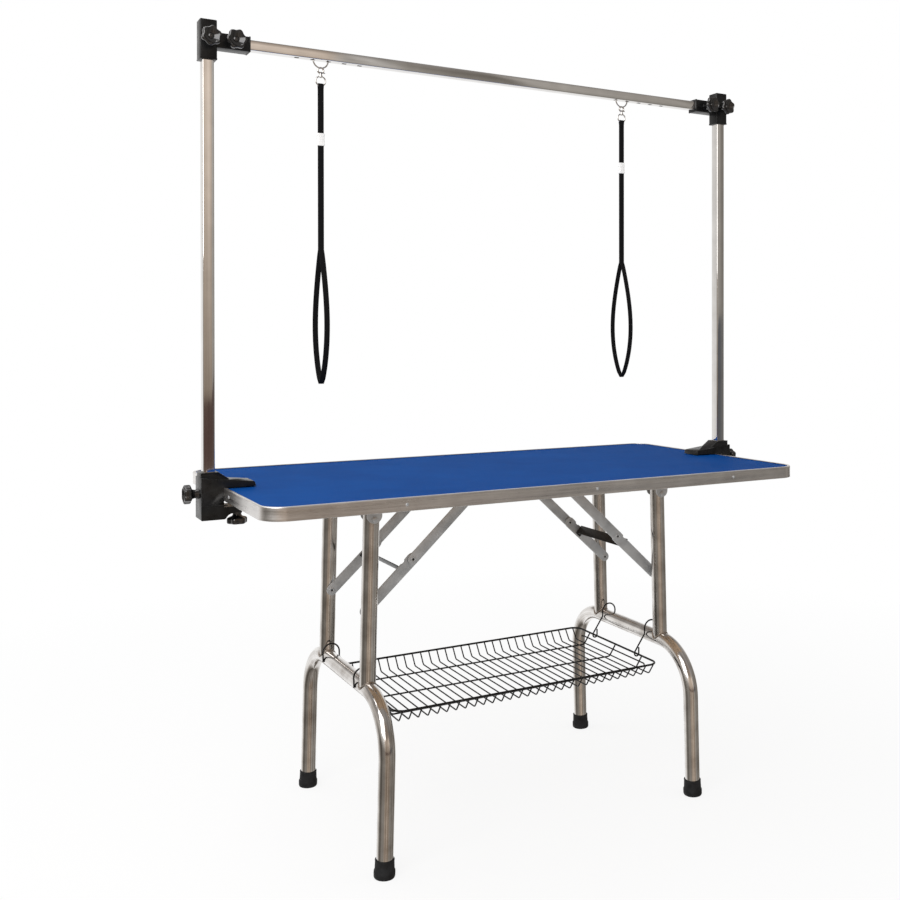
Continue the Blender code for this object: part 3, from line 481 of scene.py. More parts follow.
def build_trim_screws(half_x, half_y):
    """Small pan-head screws that hold the trim to the board's edge."""
    height = (TOP_LOW.z + TOP_HIGH.z) / 2 - 0.0005
    spots = []
    for x in (-0.342, 0.065, 0.413):
        spots.append(((x, -half_y, height), math.pi / 2, "X"))
        spots.append(((-x, half_y, height), -math.pi / 2, "X"))
    for side, y in ((-1, -0.055), (1, 0.055)):
        spots.append(((side * half_x, y, height), side * math.pi / 2, "Y"))
    shape = bmesh.new()
    for place, angle, axis in spots:
        space = Matrix.Translation(place) @ Matrix.Rotation(angle, 4, axis)
        turned(shape, dome(0.0032, 0.0013, -0.0002), space, 20)
        for angle in (0, math.pi / 2):
            cross = space @ Matrix.Rotation(angle + 0.4, 4, "Z")
            rounded_box(shape, (0.0034, 0.0007, 0.0004), (0, 0, 0.00112), 0.0001, cross, 1)
    piece("trim_screws", shape, "table_top", ZINC)


# ---- Legs
def hoop_path():
    """Up one leg, over the bar and down the other, in the leg frame's plane."""
    half = FOOT_Y - HOOP_BEND
    foot = -PIVOT.z / math.cos(LEAN) + 0.0065
    bend = arc((half, -HOOP_DROP - HOOP_BEND), HOOP_BEND, 0, 90, 20)
    near = [(0, FOOT_Y, foot)] + [(0, y, z) for y, z in bend]
    return near + [(0, -y, z) for _, y, z in reversed(near)]


def weld_path(y):
    """Where an upright tube meets a bar of the same size: a saddle round the tube."""
    path = []
    steps = 40
    reach = TUBE + 0.0004
    for index in range(steps):
        angle = 2 * math.pi * index / steps
        rise = TUBE * math.sqrt(math.sin(angle) ** 2 + 0.012) - HOOP_DROP
        path.append((reach * math.cos(angle), y + reach * math.sin(angle), rise))
    return path


def build_leg_frame(side):
    body = f"{side}_leg_frame"
    space = SIDE_SPACE[side] @ LEG_SPACE
    shape = bmesh.new()
    sweep(shape, hoop_path(), circle(TUBE, 40), hint=(1, 0, 0))
    piece(f"{side}_hoop_tube", shape, body, STEEL, [f"{side}_foot_hoop"], space)
    for end, front in ENDS.items():
        y = front * SIDES[side] * UPPER_Y
        shape = bmesh.new()
        sweep(shape, [(0, y, 0.016), (0, y, -HOOP_DROP)], circle(TUBE, 40), hint=(1, 0, 0))
        name = f"{side}_{end}_upright"
        piece(name, shape, body, STEEL, [f"{side}_{end}_leg_tube"], space)
        shape = bmesh.new()
        sweep(shape, weld_path(y), circle(0.0019, 8), closed=True, hint=(0, 0, 1))
        piece(f"{side}_{end}_weld", shape, body, WELD, space=space)
        build_foot_cap(side, end, body, space, front * SIDES[side] * FOOT_Y)
        build_leg_bracket(side, end, y)


def build_foot_cap(side, end, body, space, y):
    """A moulded rubber ferrule: a rolled rim, a tapered wall and a thick foot."""
    bottom = -PIVOT.z / math.cos(LEAN)
    rim = bottom + 0.034
    profile = [(0, rim - 0.0012), (TUBE, rim - 0.0012), (TUBE + 0.0004, rim)]
    profile += [(0.0180, rim - 0.0006), (0.0184, rim - 0.0020), (0.0180, rim - 0.0036)]
    profile += [(0.0186, bottom + 0.0150), (0.0200, bottom + 0.0125), (0.0202, bottom + 0.0090)]
    profile += [(0.0200, bottom + 0.0025), (0.0190, bottom + 0.0004), (0.0176, bottom)]
    profile += [(0, bottom)]
    shape = bmesh.new()
    turned(shape, profile, Matrix.Translation((0, y, 0)), 40)
    shape.transform(space)
    for vert in shape.verts:
        vert.co.z = max(vert.co.z, 0.0)
    name = f"{side}_{end}_foot_cap"
    piece(f"{side}_{end}_ferrule", shape, body, RUBBER, [name])


def facing_out(x, y, z, out):
    """A space at a point whose Z points across the table, toward out."""
    return Matrix.Translation((x, y, z)) @ Matrix.Rotation(-out * math.pi / 2, 4, "X")


def build_leg_bracket(side, end, y):
    """A pressed saddle: a base plate, two round ears, the hinge pin's heads and a rivet."""
    half_width, ear = 0.0155, 0.002
    inside = TUBE + 0.001
    top = UNDERSIDE - 0.0003
    centre = PIVOT.z + half_width - 0.008
    outline = [(half_width, top), (-half_width, top)]
    outline += arc((0, centre), half_width, 180, 360, 20)
    upright = Matrix.Translation((PIVOT.x, 0, 0)) @ FACING_FRONT
    shape = bmesh.new()
    for out in (-1, 1):
        place = Matrix.Translation((0, y + out * (inside + ear / 2), 0)) @ upright
        plate(shape, outline, ear, 0.0005, place)
        turn = facing_out(PIVOT.x, y + out * (inside + ear), PIVOT.z, out)
        turned(shape, [(0.0072, 0.0004), (0.0072, -0.0002), (0, -0.0002)], turn, 24)
        turned(shape, dome(0.0056, 0.0026, 0.0004), turn, 24)
        rivet = Matrix.Translation((0, 0, 0.0225)) @ turn
        turned(shape, dome(0.0031, 0.0012), rivet, 18)
    base_centre = (PIVOT.x, y, top - 0.001)
    rounded_box(shape, (2 * half_width, 2 * (inside + ear), 0.002), base_centre, 0.0006)
    name = f"{side}_{end}_leg_bracket"
    piece(f"{side}_{end}_saddle", shape, "table_top", ZINC, [name], SIDE_SPACE[side])


# ---- Folding stays
STAY_WIDTH = 0.022
STAY_THICKNESS = 0.003
UPPER_STAY_Y = 0.1027
LOWER_STAY_Y = 0.0992
STAY_GAP = 0.0003
STAY_DIRECTION = (STAY_FOOT - STAY_HEAD).normalized()
ELBOW_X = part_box("right_front_upper_stay")[1].x - STAY_WIDTH / 2
ELBOW = STAY_HEAD + STAY_DIRECTION * ((ELBOW_X - STAY_HEAD.x) / STAY_DIRECTION.x)
UPPER_LENGTH = (ELBOW - STAY_HEAD).length
LOWER_LENGTH = (ELBOW - STAY_FOOT).length


def stay_space(start, y, toward_leg):
    """A plate's space: X along the stay, Y to its upper edge, Z across the table."""
    along = STAY_DIRECTION if toward_leg else -STAY_DIRECTION
    up = Vector((-STAY_DIRECTION.z, 0, STAY_DIRECTION.x))
    across = along.cross(up)
    turn = Matrix((along, up, across)).transposed().to_4x4()
    return Matrix.Translation((start.x, y, start.z)) @ turn


def build_stays(side):
    half = STAY_WIDTH / 2
    for end, front in ENDS.items():
        out = front * SIDES[side]
        y = out * UPPER_STAY_Y
        outline = arc((0, 0), half, 90, 270, 16) + arc((UPPER_LENGTH, 0), half, -90, 90, 16)
        shape = bmesh.new()
        plate(shape, outline, STAY_THICKNESS, 0.0006, stay_space(STAY_HEAD, y, True))
        rivet_heads(shape, ELBOW, y, out)
        stay_piece(side, end, "upper", shape)
        build_lower_link(side, end, out)
        build_stay_bracket(side, end, out, y - out * (STAY_THICKNESS / 2 + STAY_GAP))
    build_cross_strip(side, LOWER_STAY_Y - STAY_THICKNESS / 2 - STAY_GAP)


def stay_piece(side, end, kind, shape):
    name = f"{side}_{end}_{kind}_link"
    body = f"{side}_{kind}_stays"
    node = f"{side}_{end}_{kind}_stay"
    # the second material, black rubber, is painted shade in the rivets' hollows
    piece(name, shape, body, ZINC, [node], SIDE_SPACE[side], second=RUBBER)


def build_lower_link(side, end, out):
    """The lower stay: a round foot, and a wider elbow with a step and a finger tab."""
    y = out * LOWER_STAY_Y
    length = LOWER_LENGTH
    half = STAY_WIDTH / 2
    big = half + 0.0015
    outline = arc((0, 0), half, 90, 270, 16)
    outline += arc((length, 0), big, -90, 90, 16)
    outline += [(length - big, big - 0.0005), (length - big - 0.0012, big - 0.0042)]
    outline += [(length - big - 0.0090, big - 0.0042), (length - big - 0.0102, half)]
    shape = bmesh.new()
    plate(shape, outline, STAY_THICKNESS, 0.0006, stay_space(STAY_FOOT, y, False))
    for point in (ELBOW, STAY_FOOT):
        rivet_heads(shape, point, y, -out)
    spacer = facing_out(STAY_FOOT.x, y, STAY_FOOT.z, out)
    turned(shape, [(0, 0.0054), (0.005, 0.0054), (0.005, 0), (0, 0)], spacer, 24)
    stay_piece(side, end, "lower", shape)


def rivet_heads(shape, point, y, out):
    """A tubular rivet's rolled head on a plate's face toward out; a black disc in its hollow is
    painted shade.
    """
    space = facing_out(point.x, y + out * STAY_THICKNESS / 2, point.z, out)
    profile = [(0.0024, 0.0002), (0.0027, 0.0008), (0.0036, 0.0013)]
    profile += [(0.0052, 0.0011), (0.0061, 0.0002), (0.0061, -0.0014), (0, -0.0014)]
    turned(shape, profile, space, 28)
    known = set(shape.faces)
    # a thin black rubber disc fills the hollow: painted shade where the hole would be dark
    turned(shape, [(0, 0.0004), (0.0023, 0.0004), (0.0023, -0.0004), (0, -0.0004)], space, 20)
    for face in set(shape.faces) - known:
        face.material_index = 1


def build_stay_bracket(side, end, out, face_y):
    """An angle screwed under the board, with a round ear that carries the upper stay."""
    ear = 0.002
    y = face_y - out * ear / 2
    top = UNDERSIDE - 0.0003
    half = 0.012
    outline = [(half, top), (-half, top)]
    outline += arc((0, STAY_HEAD.z), half, 180, 360, 16)
    upright = Matrix.Translation((STAY_HEAD.x, y, 0)) @ FACING_FRONT
    shape = bmesh.new()
    plate(shape, outline, ear, 0.0005, upright)
    flange_centre = (STAY_HEAD.x, y - out * 0.011, top - ear / 2)
    rounded_box(shape, (2 * half, 0.0231, ear), flange_centre, 0.0006)
    for x in (-0.0062, 0.0062):
        place = Matrix.Translation((STAY_HEAD.x + x, y - out * 0.014, top - ear))
        turned(shape, dome(0.0032, 0.0014), place @ Matrix.Rotation(math.pi, 4, "X"), 16)
    pin = facing_out(STAY_HEAD.x, y, STAY_HEAD.z, out)
    reach = ear / 2 + 0.0006 + 0.003
    profile = [(0, reach + 0.0016), (0.0035, reach + 0.0013), (0.006, reach), (0.0035, reach)]
    profile += [(0.0035, -ear / 2), (0.005, -ear / 2), (0.003, -ear / 2 - 0.0015)]
    profile += [(0, -ear / 2 - 0.0018)]
    turned(shape, profile, pin, 24)
    name = f"{side}_{end}_stay_bracket"
    piece(f"{side}_{end}_angle", shape, "table_top", ZINC, [name], SIDE_SPACE[side])


def build_cross_strip(side, inner):
    """A black band between the lower stays, with a spot-welded flange at each end."""
    space = stay_space(STAY_FOOT, 0, False)
    x = LOWER_LENGTH - 0.030
    shape = bmesh.new()
    rounded_box(shape, (0.0016, STAY_WIDTH, 2 * inner), (x, 0.003, 0), 0.0006, space)
    for out in (-1, 1):
        flange = (x - 0.007, 0, out * (inner - 0.0008))
        rounded_box(shape, (0.0145, STAY_WIDTH * 0.8, 0.0016), flange, 0.0005, space)
    name = f"{side}_cross_strip"
    piece(f"{side}_band", shape, f"{side}_lower_stays", COATING, [name], SIDE_SPACE[side])


# ---- Wire tray and hooks
TRAY_LOW, TRAY_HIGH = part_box("wire_tray")
RIM_WIRE = 0.0025
CROSS_WIRE = 0.0015
RIM_X = TRAY_HIGH.x - RIM_WIRE
RIM_Y = TRAY_HIGH.y - RIM_WIRE
RIM_Z = TRAY_HIGH.z - RIM_WIRE
FLOOR_Z = TRAY_LOW.z + CROSS_WIRE
TRAY_SLOPE = 0.017
TRAY_CORNER = 0.022
LONG_WIRE_Y = (-0.105, 0.0, 0.110)
CROSS_PITCH = 0.0205
CROSS_COUNT = 30


def smooth_corners(points, radius, steps=5):
    """Rounds the inner corners of an open polyline with circular-looking bends."""
    points = [Vector(point) for point in points]
    path = [points[0]]
    for before, corner, after in zip(points, points[1:], points[2:]):
        start = corner + (before - corner).normalized() * radius
        end = corner + (after - corner).normalized() * radius
        for index in range(steps + 1):
            t = index / steps
            path.append(start.lerp(corner, t).lerp(corner.lerp(end, t), t))
    path.append(points[-1])
    return path


def build_tray():
    shape = bmesh.new()
    rim = [(x, y, RIM_Z) for x, y in rounded_rectangle(RIM_X, RIM_Y, TRAY_CORNER, 10)]
    sweep(shape, rim, circle(0.0022, 14), closed=True, hint=(0, 0, 1))
    side_wire = 0.0016
    low = RIM_Z - 0.011
    for out in (-1, 1):
        x = out * (RIM_X - 0.0072)
        ends = [(x - out * 0.004, -0.130, low), (x, -0.124, low), (x, 0.124, low)]
        ends.append((x - out * 0.004, 0.130, low))
        sweep(shape, smooth_corners(ends, 0.003), circle(side_wire, 10), hint=(0, 0, 1))
    piece("tray_rim", shape, "tray", COATING, ["wire_tray"])
    shape = bmesh.new()
    edge_y = RIM_Y - 0.0010
    floor_y = RIM_Y - TRAY_SLOPE
    first = -CROSS_PITCH * (CROSS_COUNT - 1) / 2
    for index in range(CROSS_COUNT):
        x = first + index * CROSS_PITCH
        top = RIM_Z - 0.0020
        corners = [(x, -edge_y, top), (x, -floor_y, FLOOR_Z), (x, floor_y, FLOOR_Z)]
        corners.append((x, edge_y, top))
        path = smooth_corners(corners, 0.0045)
        sweep(shape, path, circle(CROSS_WIRE, 10), hint=(1, 0, 0))
    piece("tray_cross_wires", shape, "tray", COATING)
    shape = bmesh.new()
    under = FLOOR_Z - CROSS_WIRE - 0.0004
    for y in LONG_WIRE_Y:
        reach = RIM_X - TRAY_SLOPE
        corners = [(-RIM_X + 0.001, y, RIM_Z - 0.002), (-reach, y, under)]
        corners += [(reach, y, under), (RIM_X - 0.001, y, RIM_Z - 0.002)]
        sweep(shape, smooth_corners(corners, 0.005), circle(0.0017, 10))
    piece("tray_long_wires", shape, "tray", COATING)


def hook_path():
    """Over the hoop bar, down the inner side, and a narrow U under the tray's rim."""
    wire = 0.0015
    reach = TUBE + wire + 0.0006
    crown = BAR.z + 0.0155
    points = [(BAR.x + reach - 0.0008, BAR.z - 0.003)]
    points += arc((BAR.x, crown), reach, -14, 180, 18)
    inner = RIM_X - RIM_WIRE - wire - 0.0024
    outer = RIM_X + RIM_WIRE + wire + 0.0012
    seat = RIM_Z - RIM_WIRE - wire - 0.0009
    middle = (inner + outer) / 2
    half = (outer - inner) / 2
    points += [(BAR.x - reach, BAR.z + 0.004), (inner, RIM_Z + 0.004)]
    points += arc((middle, seat + half), half, 180, 360, 12)
    points.append((outer, RIM_Z + 0.014))
    return [(x, 0, z) for x, z in points]


def build_hooks(side):
    body = "tray" if side == "right" else "left_tray_hooks"
    for end in ENDS:
        node = f"{side}_{end}_tray_hook"
        y = middle_of(node).y * SIDES[side]
        shape = bmesh.new()
        sweep(shape, hook_path(), circle(0.0017, 12))
        space = SIDE_SPACE[side] @ Matrix.Translation((0, y, 0))
        piece(f"{side}_{end}_wire_hook", shape, body, COATING, [node], space)


# ---- Knobs and clamps
def knob(shape, radius, height, neck, stem, space):
    """A moulded knob: conical neck, six soft lobes, a dished face and a small boss."""
    steps = 96
    lobes = 6
    depth = radius * 0.075
    rim = radius - depth
    top = neck + height
    # each row's radius, how strongly it is lobed, and its height
    rows = [(0.0098, 0, 0.0), (0.0098, 0, 0.0010), (0.0080, 0, neck * 0.55)]
    rows += [(0.0092, 0, neck - 0.0008), (radius * 0.60, 0, neck + 0.0006)]
    rows += [(rim - 0.0034, 0.7, neck + 0.0016), (rim - 0.0010, 1, neck + 0.0030)]
    rows += [(rim, 1, neck + 0.0048), (rim, 1, top - 0.0030)]
    rows += [(rim - 0.0005, 1, top - 0.0014), (rim - 0.0018, 0.9, top - 0.0004)]
    rows += [(rim - 0.0030, 0.7, top), (radius * 0.765, 0, top - 0.0003)]
    rows += [(radius * 0.72, 0, top - 0.0012), (radius * 0.36, 0, top - 0.0052)]
    rows += [(radius * 0.29, 0, top - 0.0056), (radius * 0.25, 0, top - 0.0044)]
    rows += [(radius * 0.15, 0, top - 0.0038), (0.00001, 0, top - 0.0037)]
    rings = []
    for base, lobed, z in rows:
        ring = []
        for index in range(steps):
            angle = 2 * math.pi * index / steps
            reach = base + depth * lobed * math.cos(lobes * angle)
            place = Vector((reach * math.cos(angle), reach * math.sin(angle), z))
            ring.append(shape.verts.new(space @ place))
        rings.append(ring)
    skin(shape, rings, distances(circle(radius, steps)), [row[2] for row in rows])
    if stem:
        turned(shape, [(0, 0.002), (0.004, 0.002), (0.004, -stem), (0, -stem)], space, 20)


SOCKET_GAP = 0.0003


def build_clamp(side):
    sign = SIDES[side]
    low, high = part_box(f"{side}_clamp")
    y = middle_of(f"{side}_clamp").y * sign
    outer = max(abs(low.x), abs(high.x))
    tip = min(abs(low.x), abs(high.x))
    width = high.y - low.y
    edge = TOP_HIGH.x + 0.0003
    jaw = TOP_HIGH.z + 0.0003
    screw_x = abs(joint_at(f"{side}_clamp_screw_turn").x)
    lower_top = UNDERSIDE - 0.012
    lower_bottom = low.z + 0.0115
    shoulder = high.z - 0.0093
    outline = [(outer, low.z + 0.0012), (outer, shoulder - 0.0006), (outer - 0.0006, shoulder)]
    outline += [(tip + 0.0045, jaw + 0.0095), (tip + 0.0026, jaw + 0.0082), (tip, jaw)]
    outline += [(edge, jaw), (edge, lower_top), (screw_x - 0.0175, lower_top)]
    outline += [(screw_x - 0.0175, lower_top - 0.0010)]
    outline += [(screw_x - 0.004, lower_bottom + 0.0015), (screw_x + 0.008, lower_bottom)]
    outline += [(edge - 0.014, lower_bottom - 0.0008), (edge - 0.009, lower_bottom - 0.0030)]
    outline += [(edge - 0.004, low.z + 0.0010), (edge - 0.002, low.z), (outer - 0.0015, low.z)]
    shape = bmesh.new()
    facing = Matrix.Translation((0, y, 0)) @ FACING_FRONT
    plate(shape, outline, width, 0.0024, facing, 4)
    ridge = ((outer + edge) / 2 - 0.004, y, low.z + 0.0268)
    rounded_box(shape, (outer - edge + 0.0075, width + 0.0018, 0.0020), ridge, 0.0009)
    post_x = abs(middle_of(f"{side}_post").x)
    inner = post_x - 0.0165
    collar = [(outer - 0.0008, shoulder - 0.004), (outer - 0.0008, high.z), (inner, high.z)]
    collar += [(inner - 0.0195, shoulder - 0.0045), (inner - 0.0195, shoulder - 0.01)]
    plate(shape, collar, 0.035, 0.0014, facing, 3)
    rim = (post_x, y, high.z - 0.0012)
    rounded_box(shape, (0.0342, 0.0352, 0.0024), rim, 0.0009)
    name = f"{side}_clamp"
    space = SIDE_SPACE[side]
    made = piece(f"{name}_casting", shape, "table_top", CASTING, [name], space, 50)
    socket = space @ Vector((post_x, y, high.z))
    bore = size_of(f"{side}_post").x + 2 * SOCKET_GAP
    cut_box(made, (bore, bore, 0.240), socket)
    build_clamp_knobs(side, low, outer)


def cut_box(target, size, centre):
    """Cuts a square socket out of a piece and applies the cut."""
    shape = bmesh.new()
    rounded_box(shape, size, centre, 0.0008, segments=2)
    cutter = new_object("socket", shape)
    step = target.modifiers.new("socket", "BOOLEAN")
    step.operation = "DIFFERENCE"
    step.object = cutter
    step.use_self = True
    bpy.context.view_layer.update()
    graph = bpy.context.evaluated_depsgraph_get()
    solved = bpy.data.meshes.new_from_object(target.evaluated_get(graph))
    target.modifiers.clear()
    target.data = solved
    bpy.data.objects.remove(cutter, do_unlink=True)


def build_clamp_knobs(side, clamp_low, outer):
    sign = SIDES[side]
    name = f"{side}_clamp_knob"
    spot = joint_at(f"{name}_turn")
    low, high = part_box(name)
    base = outer + 0.0003
    neck = 0.0120
    height = max(abs(low.x), abs(high.x)) - base - neck
    space = Matrix.Translation((sign * base, spot.y, spot.z))
    space = space @ Matrix.Rotation(sign * math.pi / 2, 4, "Y")
    shape = bmesh.new()
    knob(shape, (high.z - low.z) / 2, height, neck, 0.0055, space)
    piece(f"{side}_side_knob", shape, name, KNOB, [name], angle=50)
    name = f"{side}_clamp_screw"
    spot = joint_at(f"{name}_turn")
    low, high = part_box(name)
    base = clamp_low.z + 0.010
    neck = 0.009
    space = Matrix.Translation((spot.x, spot.y, base)) @ Matrix.Rotation(math.pi, 4, "X")
    shape = bmesh.new()
    knob(shape, (high.y - low.y) / 2, base - neck - low.z, neck, 0.0, space)
    piece(f"{side}_screw_knob", shape, name, KNOB, [name], angle=50)
    thread = [(0, high.z)]
    pitch = 0.0015
    for index in range(int((high.z - base) / pitch)):
        z = high.z - 0.0003 - index * pitch
        thread += [(0.0034, z), (0.0040, z - 0.0006), (0.0034, z - 0.0012)]
    thread += [(0.0034, base), (0, base)]
    shape = bmesh.new()
    turned(shape, thread, Matrix.Translation((spot.x, spot.y, 0)), 20)
    piece(f"{side}_screw_thread", shape, name, ZINC)
    build_clamp_pad(side, spot)


def build_clamp_pad(side, spot):
    low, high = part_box(f"{side}_clamp_pad")
    profile = [(0, high.z), (0.0100, high.z), (0.0114, high.z - 0.0006)]
    profile += [(0.0120, high.z - 0.0020), (0.0120, low.z + 0.0012), (0.0110, low.z)]
    profile += [(0, low.z)]
    shape = bmesh.new()
    turned(shape, profile, Matrix.Translation((spot.x, spot.y, 0)), 36)
    name = f"{side}_clamp_pad"
    piece(f"{side}_pad", shape, name, RUBBER, [name])


# ---- Overhead arm
def square_tube(shape, start, end, side):
    sweep(shape, [start, end], rounded_rectangle(side / 2, side / 2, 0.0022, 5))


def build_arm():
    bar_low, bar_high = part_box("top_bar")
    bar_y = (bar_low.y + bar_high.y) / 2
    bar_z = (bar_low.z + bar_high.z) / 2
    bar_side = bar_high.z - bar_low.z
    shape = bmesh.new()
    square_tube(shape, (bar_low.x, bar_y, bar_z), (bar_high.x, bar_y, bar_z), bar_side)
    piece("bar_tube", shape, "overhead_arm", POLISHED, ["top_bar"], angle=10)
    # thin black rubber patches under the bar where its slots are: painted shade for the holes'
    # dark insides
    shape = bmesh.new()
    for sign in SIDES.values():
        for index in range(5):
            x = sign * (0.317 + index * 0.033)
            rounded_box(shape, (0.009, 0.006, 0.0004), (x, bar_y, bar_low.z), 0.00015)
    piece("bar_slot_shade", shape, "overhead_arm", RUBBER)
    for side, sign in SIDES.items():
        low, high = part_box(f"{side}_post")
        x, y = (low.x + high.x) / 2, (low.y + high.y) / 2
        shape = bmesh.new()
        square_tube(shape, (x, y, low.z), (x, y, high.z), high.x - low.x)
        name = f"{side}_post"
        piece(f"{name}_tube", shape, "overhead_arm", POLISHED, [name], angle=10)
        build_corner_bracket(side, sign, Vector((x, y, bar_z)))


def build_corner_bracket(side, sign, corner):
    """Two cast sleeves at right angles with drafted edges, and a lip at each mouth."""
    low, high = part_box(f"{side}_corner_bracket")
    sleeve_x = 2 * (max(abs(low.x), abs(high.x)) - abs(corner.x))
    depth = high.y - low.y
    arm_end = min(abs(low.x), abs(high.x))
    arm_height = 0.029
    shape = bmesh.new()
    centre = (corner.x, corner.y, (low.z + high.z) / 2)
    rounded_box(shape, (sleeve_x, depth, high.z - low.z), centre, 0.0020)
    arm_length = abs(corner.x) - arm_end
    centre = (sign * (arm_end + arm_length / 2), corner.y, corner.z)
    rounded_box(shape, (arm_length, depth - 0.001, arm_height), centre, 0.0018)
    mouth = (sign * (arm_end + 0.0016), corner.y, corner.z)
    rounded_box(shape, (0.0030, depth + 0.0002, arm_height + 0.0012), mouth, 0.0010)
    mouth = (corner.x, corner.y, low.z + 0.0016)
    rounded_box(shape, (sleeve_x + 0.0006, depth + 0.0006, 0.0030), mouth, 0.0010)
    for kind, turn in (("outer", 0.35), ("inner", 0.1)):
        spot = joint_at(f"{side}_{kind}_knob_turn")
        space = Matrix.Translation((spot.x, low.y, spot.z)) @ FACING_FRONT
        turned(shape, [(0, 0.0004), (0.0105, 0.0004), (0.0112, -0.0006), (0, -0.0006)], space)
        build_bracket_knob(f"{side}_{kind}", spot, turn)
    name = f"{side}_corner_bracket"
    piece(f"{side}_corner_casting", shape, "overhead_arm", CASTING, [name], angle=50)


def build_bracket_knob(place, spot, turn):
    name = f"{place}_bracket_knob"
    low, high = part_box(name)
    base = spot.y - 0.0004
    neck = 0.0151
    space = Matrix.Translation((spot.x, base, spot.z)) @ FACING_FRONT
    space = space @ Matrix.Rotation(turn, 4, "Z")
    shape = bmesh.new()
    knob(shape, (high.x - low.x) / 2, base - low.y - neck, neck, 0.0018, space)
    piece(f"{place}_grip", shape, name, KNOB, [name], angle=50)


# ---- Nooses
STRAP_HALF_WIDTH = 0.00575
STRAP_THICKNESS = 0.0018
STRAND_GAP = 0.0014
EYE_DROP = 0.050
LOOP_LENGTH = 0.270


def strap_path(length):
    """Centre line of the strap: round the eye, down, and out into a loop across the table."""
    half = (STRAND_GAP + STRAP_THICKNESS) / 2
    neck = -length + LOOP_LENGTH
    eye = 0.0020 + STRAP_THICKNESS / 2
    side = arc((0, -EYE_DROP), eye, 90, 0, 8)
    start = -EYE_DROP - 0.009
    side += [(half, start + (neck - start) * step / 8) for step in range(9)]
    steps = 28
    for index in range(1, steps):
        part = index / steps
        swell = math.sin(math.pi * part) ** 0.8 * (0.55 + 0.45 * part)
        side.append((half + 0.045 * swell, neck - LOOP_LENGTH * part))
    bottom = (0, neck - LOOP_LENGTH)
    mirrored = [(-x, z) for x, z in reversed(side[1:])]
    return [(0, y, z) for y, z in side + [bottom] + mirrored]


def build_noose(side):
    body = f"{side}_noose"
    spot = joint_at(f"{side}_noose_swing")
    strap_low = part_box(f"{side}_noose_strap")[0]
    space = Matrix.Translation(spot)
    shape = bmesh.new()
    ring = [(x, 0, z) for x, z in circle(0.0155, 40)]
    sweep(shape, ring, circle(0.0015, 12), closed=True)
    build_snap(shape)
    piece(f"{side}_snap_hook", shape, body, CHROME, [f"{side}_noose_snap"], space)
    shape = bmesh.new()
    path = strap_path(spot.z - strap_low.z - STRAP_THICKNESS / 2)
    section = rounded_rectangle(STRAP_HALF_WIDTH, STRAP_THICKNESS / 2, 0.0007, 3)
    sweep(shape, path, section, closed=True, hint=(1, 0, 0))
    piece(f"{side}_webbing", shape, body, STRAP, [f"{side}_noose_strap"], space)
    build_stitches(side, body, space)
    build_slider(side)


def build_snap(shape):
    """A small swivel snap: a hooked jaw on the ring, a barrel, and a round eye below."""
    jaw = [(x, 0, z - 0.0206) for x, z in arc((0, 0), 0.0058, -62, 236, 22)]
    sweep(shape, jaw, circle(0.0018, 12))
    profile = [(0, -0.0235), (0.0034, -0.0238), (0.0042, -0.0252), (0.0036, -0.0264)]
    profile += [(0.0026, -0.0272), (0.0026, -0.0300), (0.0042, -0.0308), (0.0044, -0.0328)]
    profile += [(0.0042, -0.0336), (0.0026, -0.0344), (0.0024, -0.0352), (0, -0.0354)]
    turned(shape, profile, steps=24)
    rounded_box(shape, (0.0070, 0.0022, 0.0022), (0.0058, 0, -0.0250), 0.0008)
    half = 0.0098
    centre = half - 0.0017 - EYE_DROP + 0.0004
    eye = [(x, 0, centre + z) for x, z in rounded_rectangle(half, half - 0.0012, 0.0076, 9)]
    sweep(shape, eye, circle(0.0014, 12), closed=True)


def build_stitches(side, body, space):
    """A stitched box under the eye that closes the strap round it."""
    shape = bmesh.new()
    face = STRAND_GAP / 2 + STRAP_THICKNESS + 0.0001
    for out in (-1, 1):
        for index in range(6):
            across = -0.0036 + index * 0.00144
            for z in (-EYE_DROP - 0.0100, -EYE_DROP - 0.0155):
                spot = (across, out * face, z)
                rounded_box(shape, (0.0010, 0.0004, 0.0004), spot, 0.0001, segments=1)
        for index in range(4):
            for x in (-0.0036, 0.0036):
                spot = (x, out * face, -EYE_DROP - 0.0108 - index * 0.0013)
                rounded_box(shape, (0.0004, 0.0004, 0.0009), spot, 0.0001, segments=1)
    piece(f"{side}_stitching", shape, body, STRAP, space=space)


def build_slider(side):
    """A white slide lock: a rounded tube with grip ribs and a flared lip."""
    name = f"{side}_noose_slider"
    low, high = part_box(name)
    size = high - low
    centre = (low + high) / 2
    shape = bmesh.new()
    half_x, half_y = size.x / 2, size.y / 2
    profile = rounded_rectangle(half_x, half_y, 0.0028, 6)
    reach = STRAND_GAP / 2 + STRAP_THICKNESS + 0.0003
    inner = rounded_rectangle(STRAP_HALF_WIDTH + 0.0003, reach, 0.0008, 6)
    heights = [(0.0, 0.88), (0.0008, 0.96), (0.0022, 1.0), (0.0034, 0.94)]
    heights += [(size.z / 2, 0.92), (size.z - 0.0034, 0.94)]
    heights += [(size.z - 0.0022, 1.0), (size.z - 0.0008, 0.96), (size.z, 0.88)]
    rings = []
    for height, grow in heights:
        z = low.z + height
        ring = [(centre.x + a * grow, centre.y + b * grow, z) for a, b in profile]
        rings.append([shape.verts.new(place) for place in ring])
    for z in (high.z, low.z):
        ring = [(centre.x + a, centre.y + b, z) for a, b in inner]
        rings.append([shape.verts.new(place) for place in ring])
    along = [0.001 * row for row in range(len(rings) + 1)]
    skin(shape, rings, distances(profile), along, closed=True)
    for index in range(5):
        z = centre.z - 0.006 + index * 0.003
        for out in (-1, 1):
            spot = (centre.x, centre.y + out * half_y * 0.92, z)
            rounded_box(shape, (size.x * 0.55, 0.0006, 0.0010), spot, 0.0002, segments=1)
    piece(f"{side}_slide_lock", shape, name, WHITE, [name], angle=45)


# ---- Studio
BACKDROP = (1.0, 1.0, 1.0)
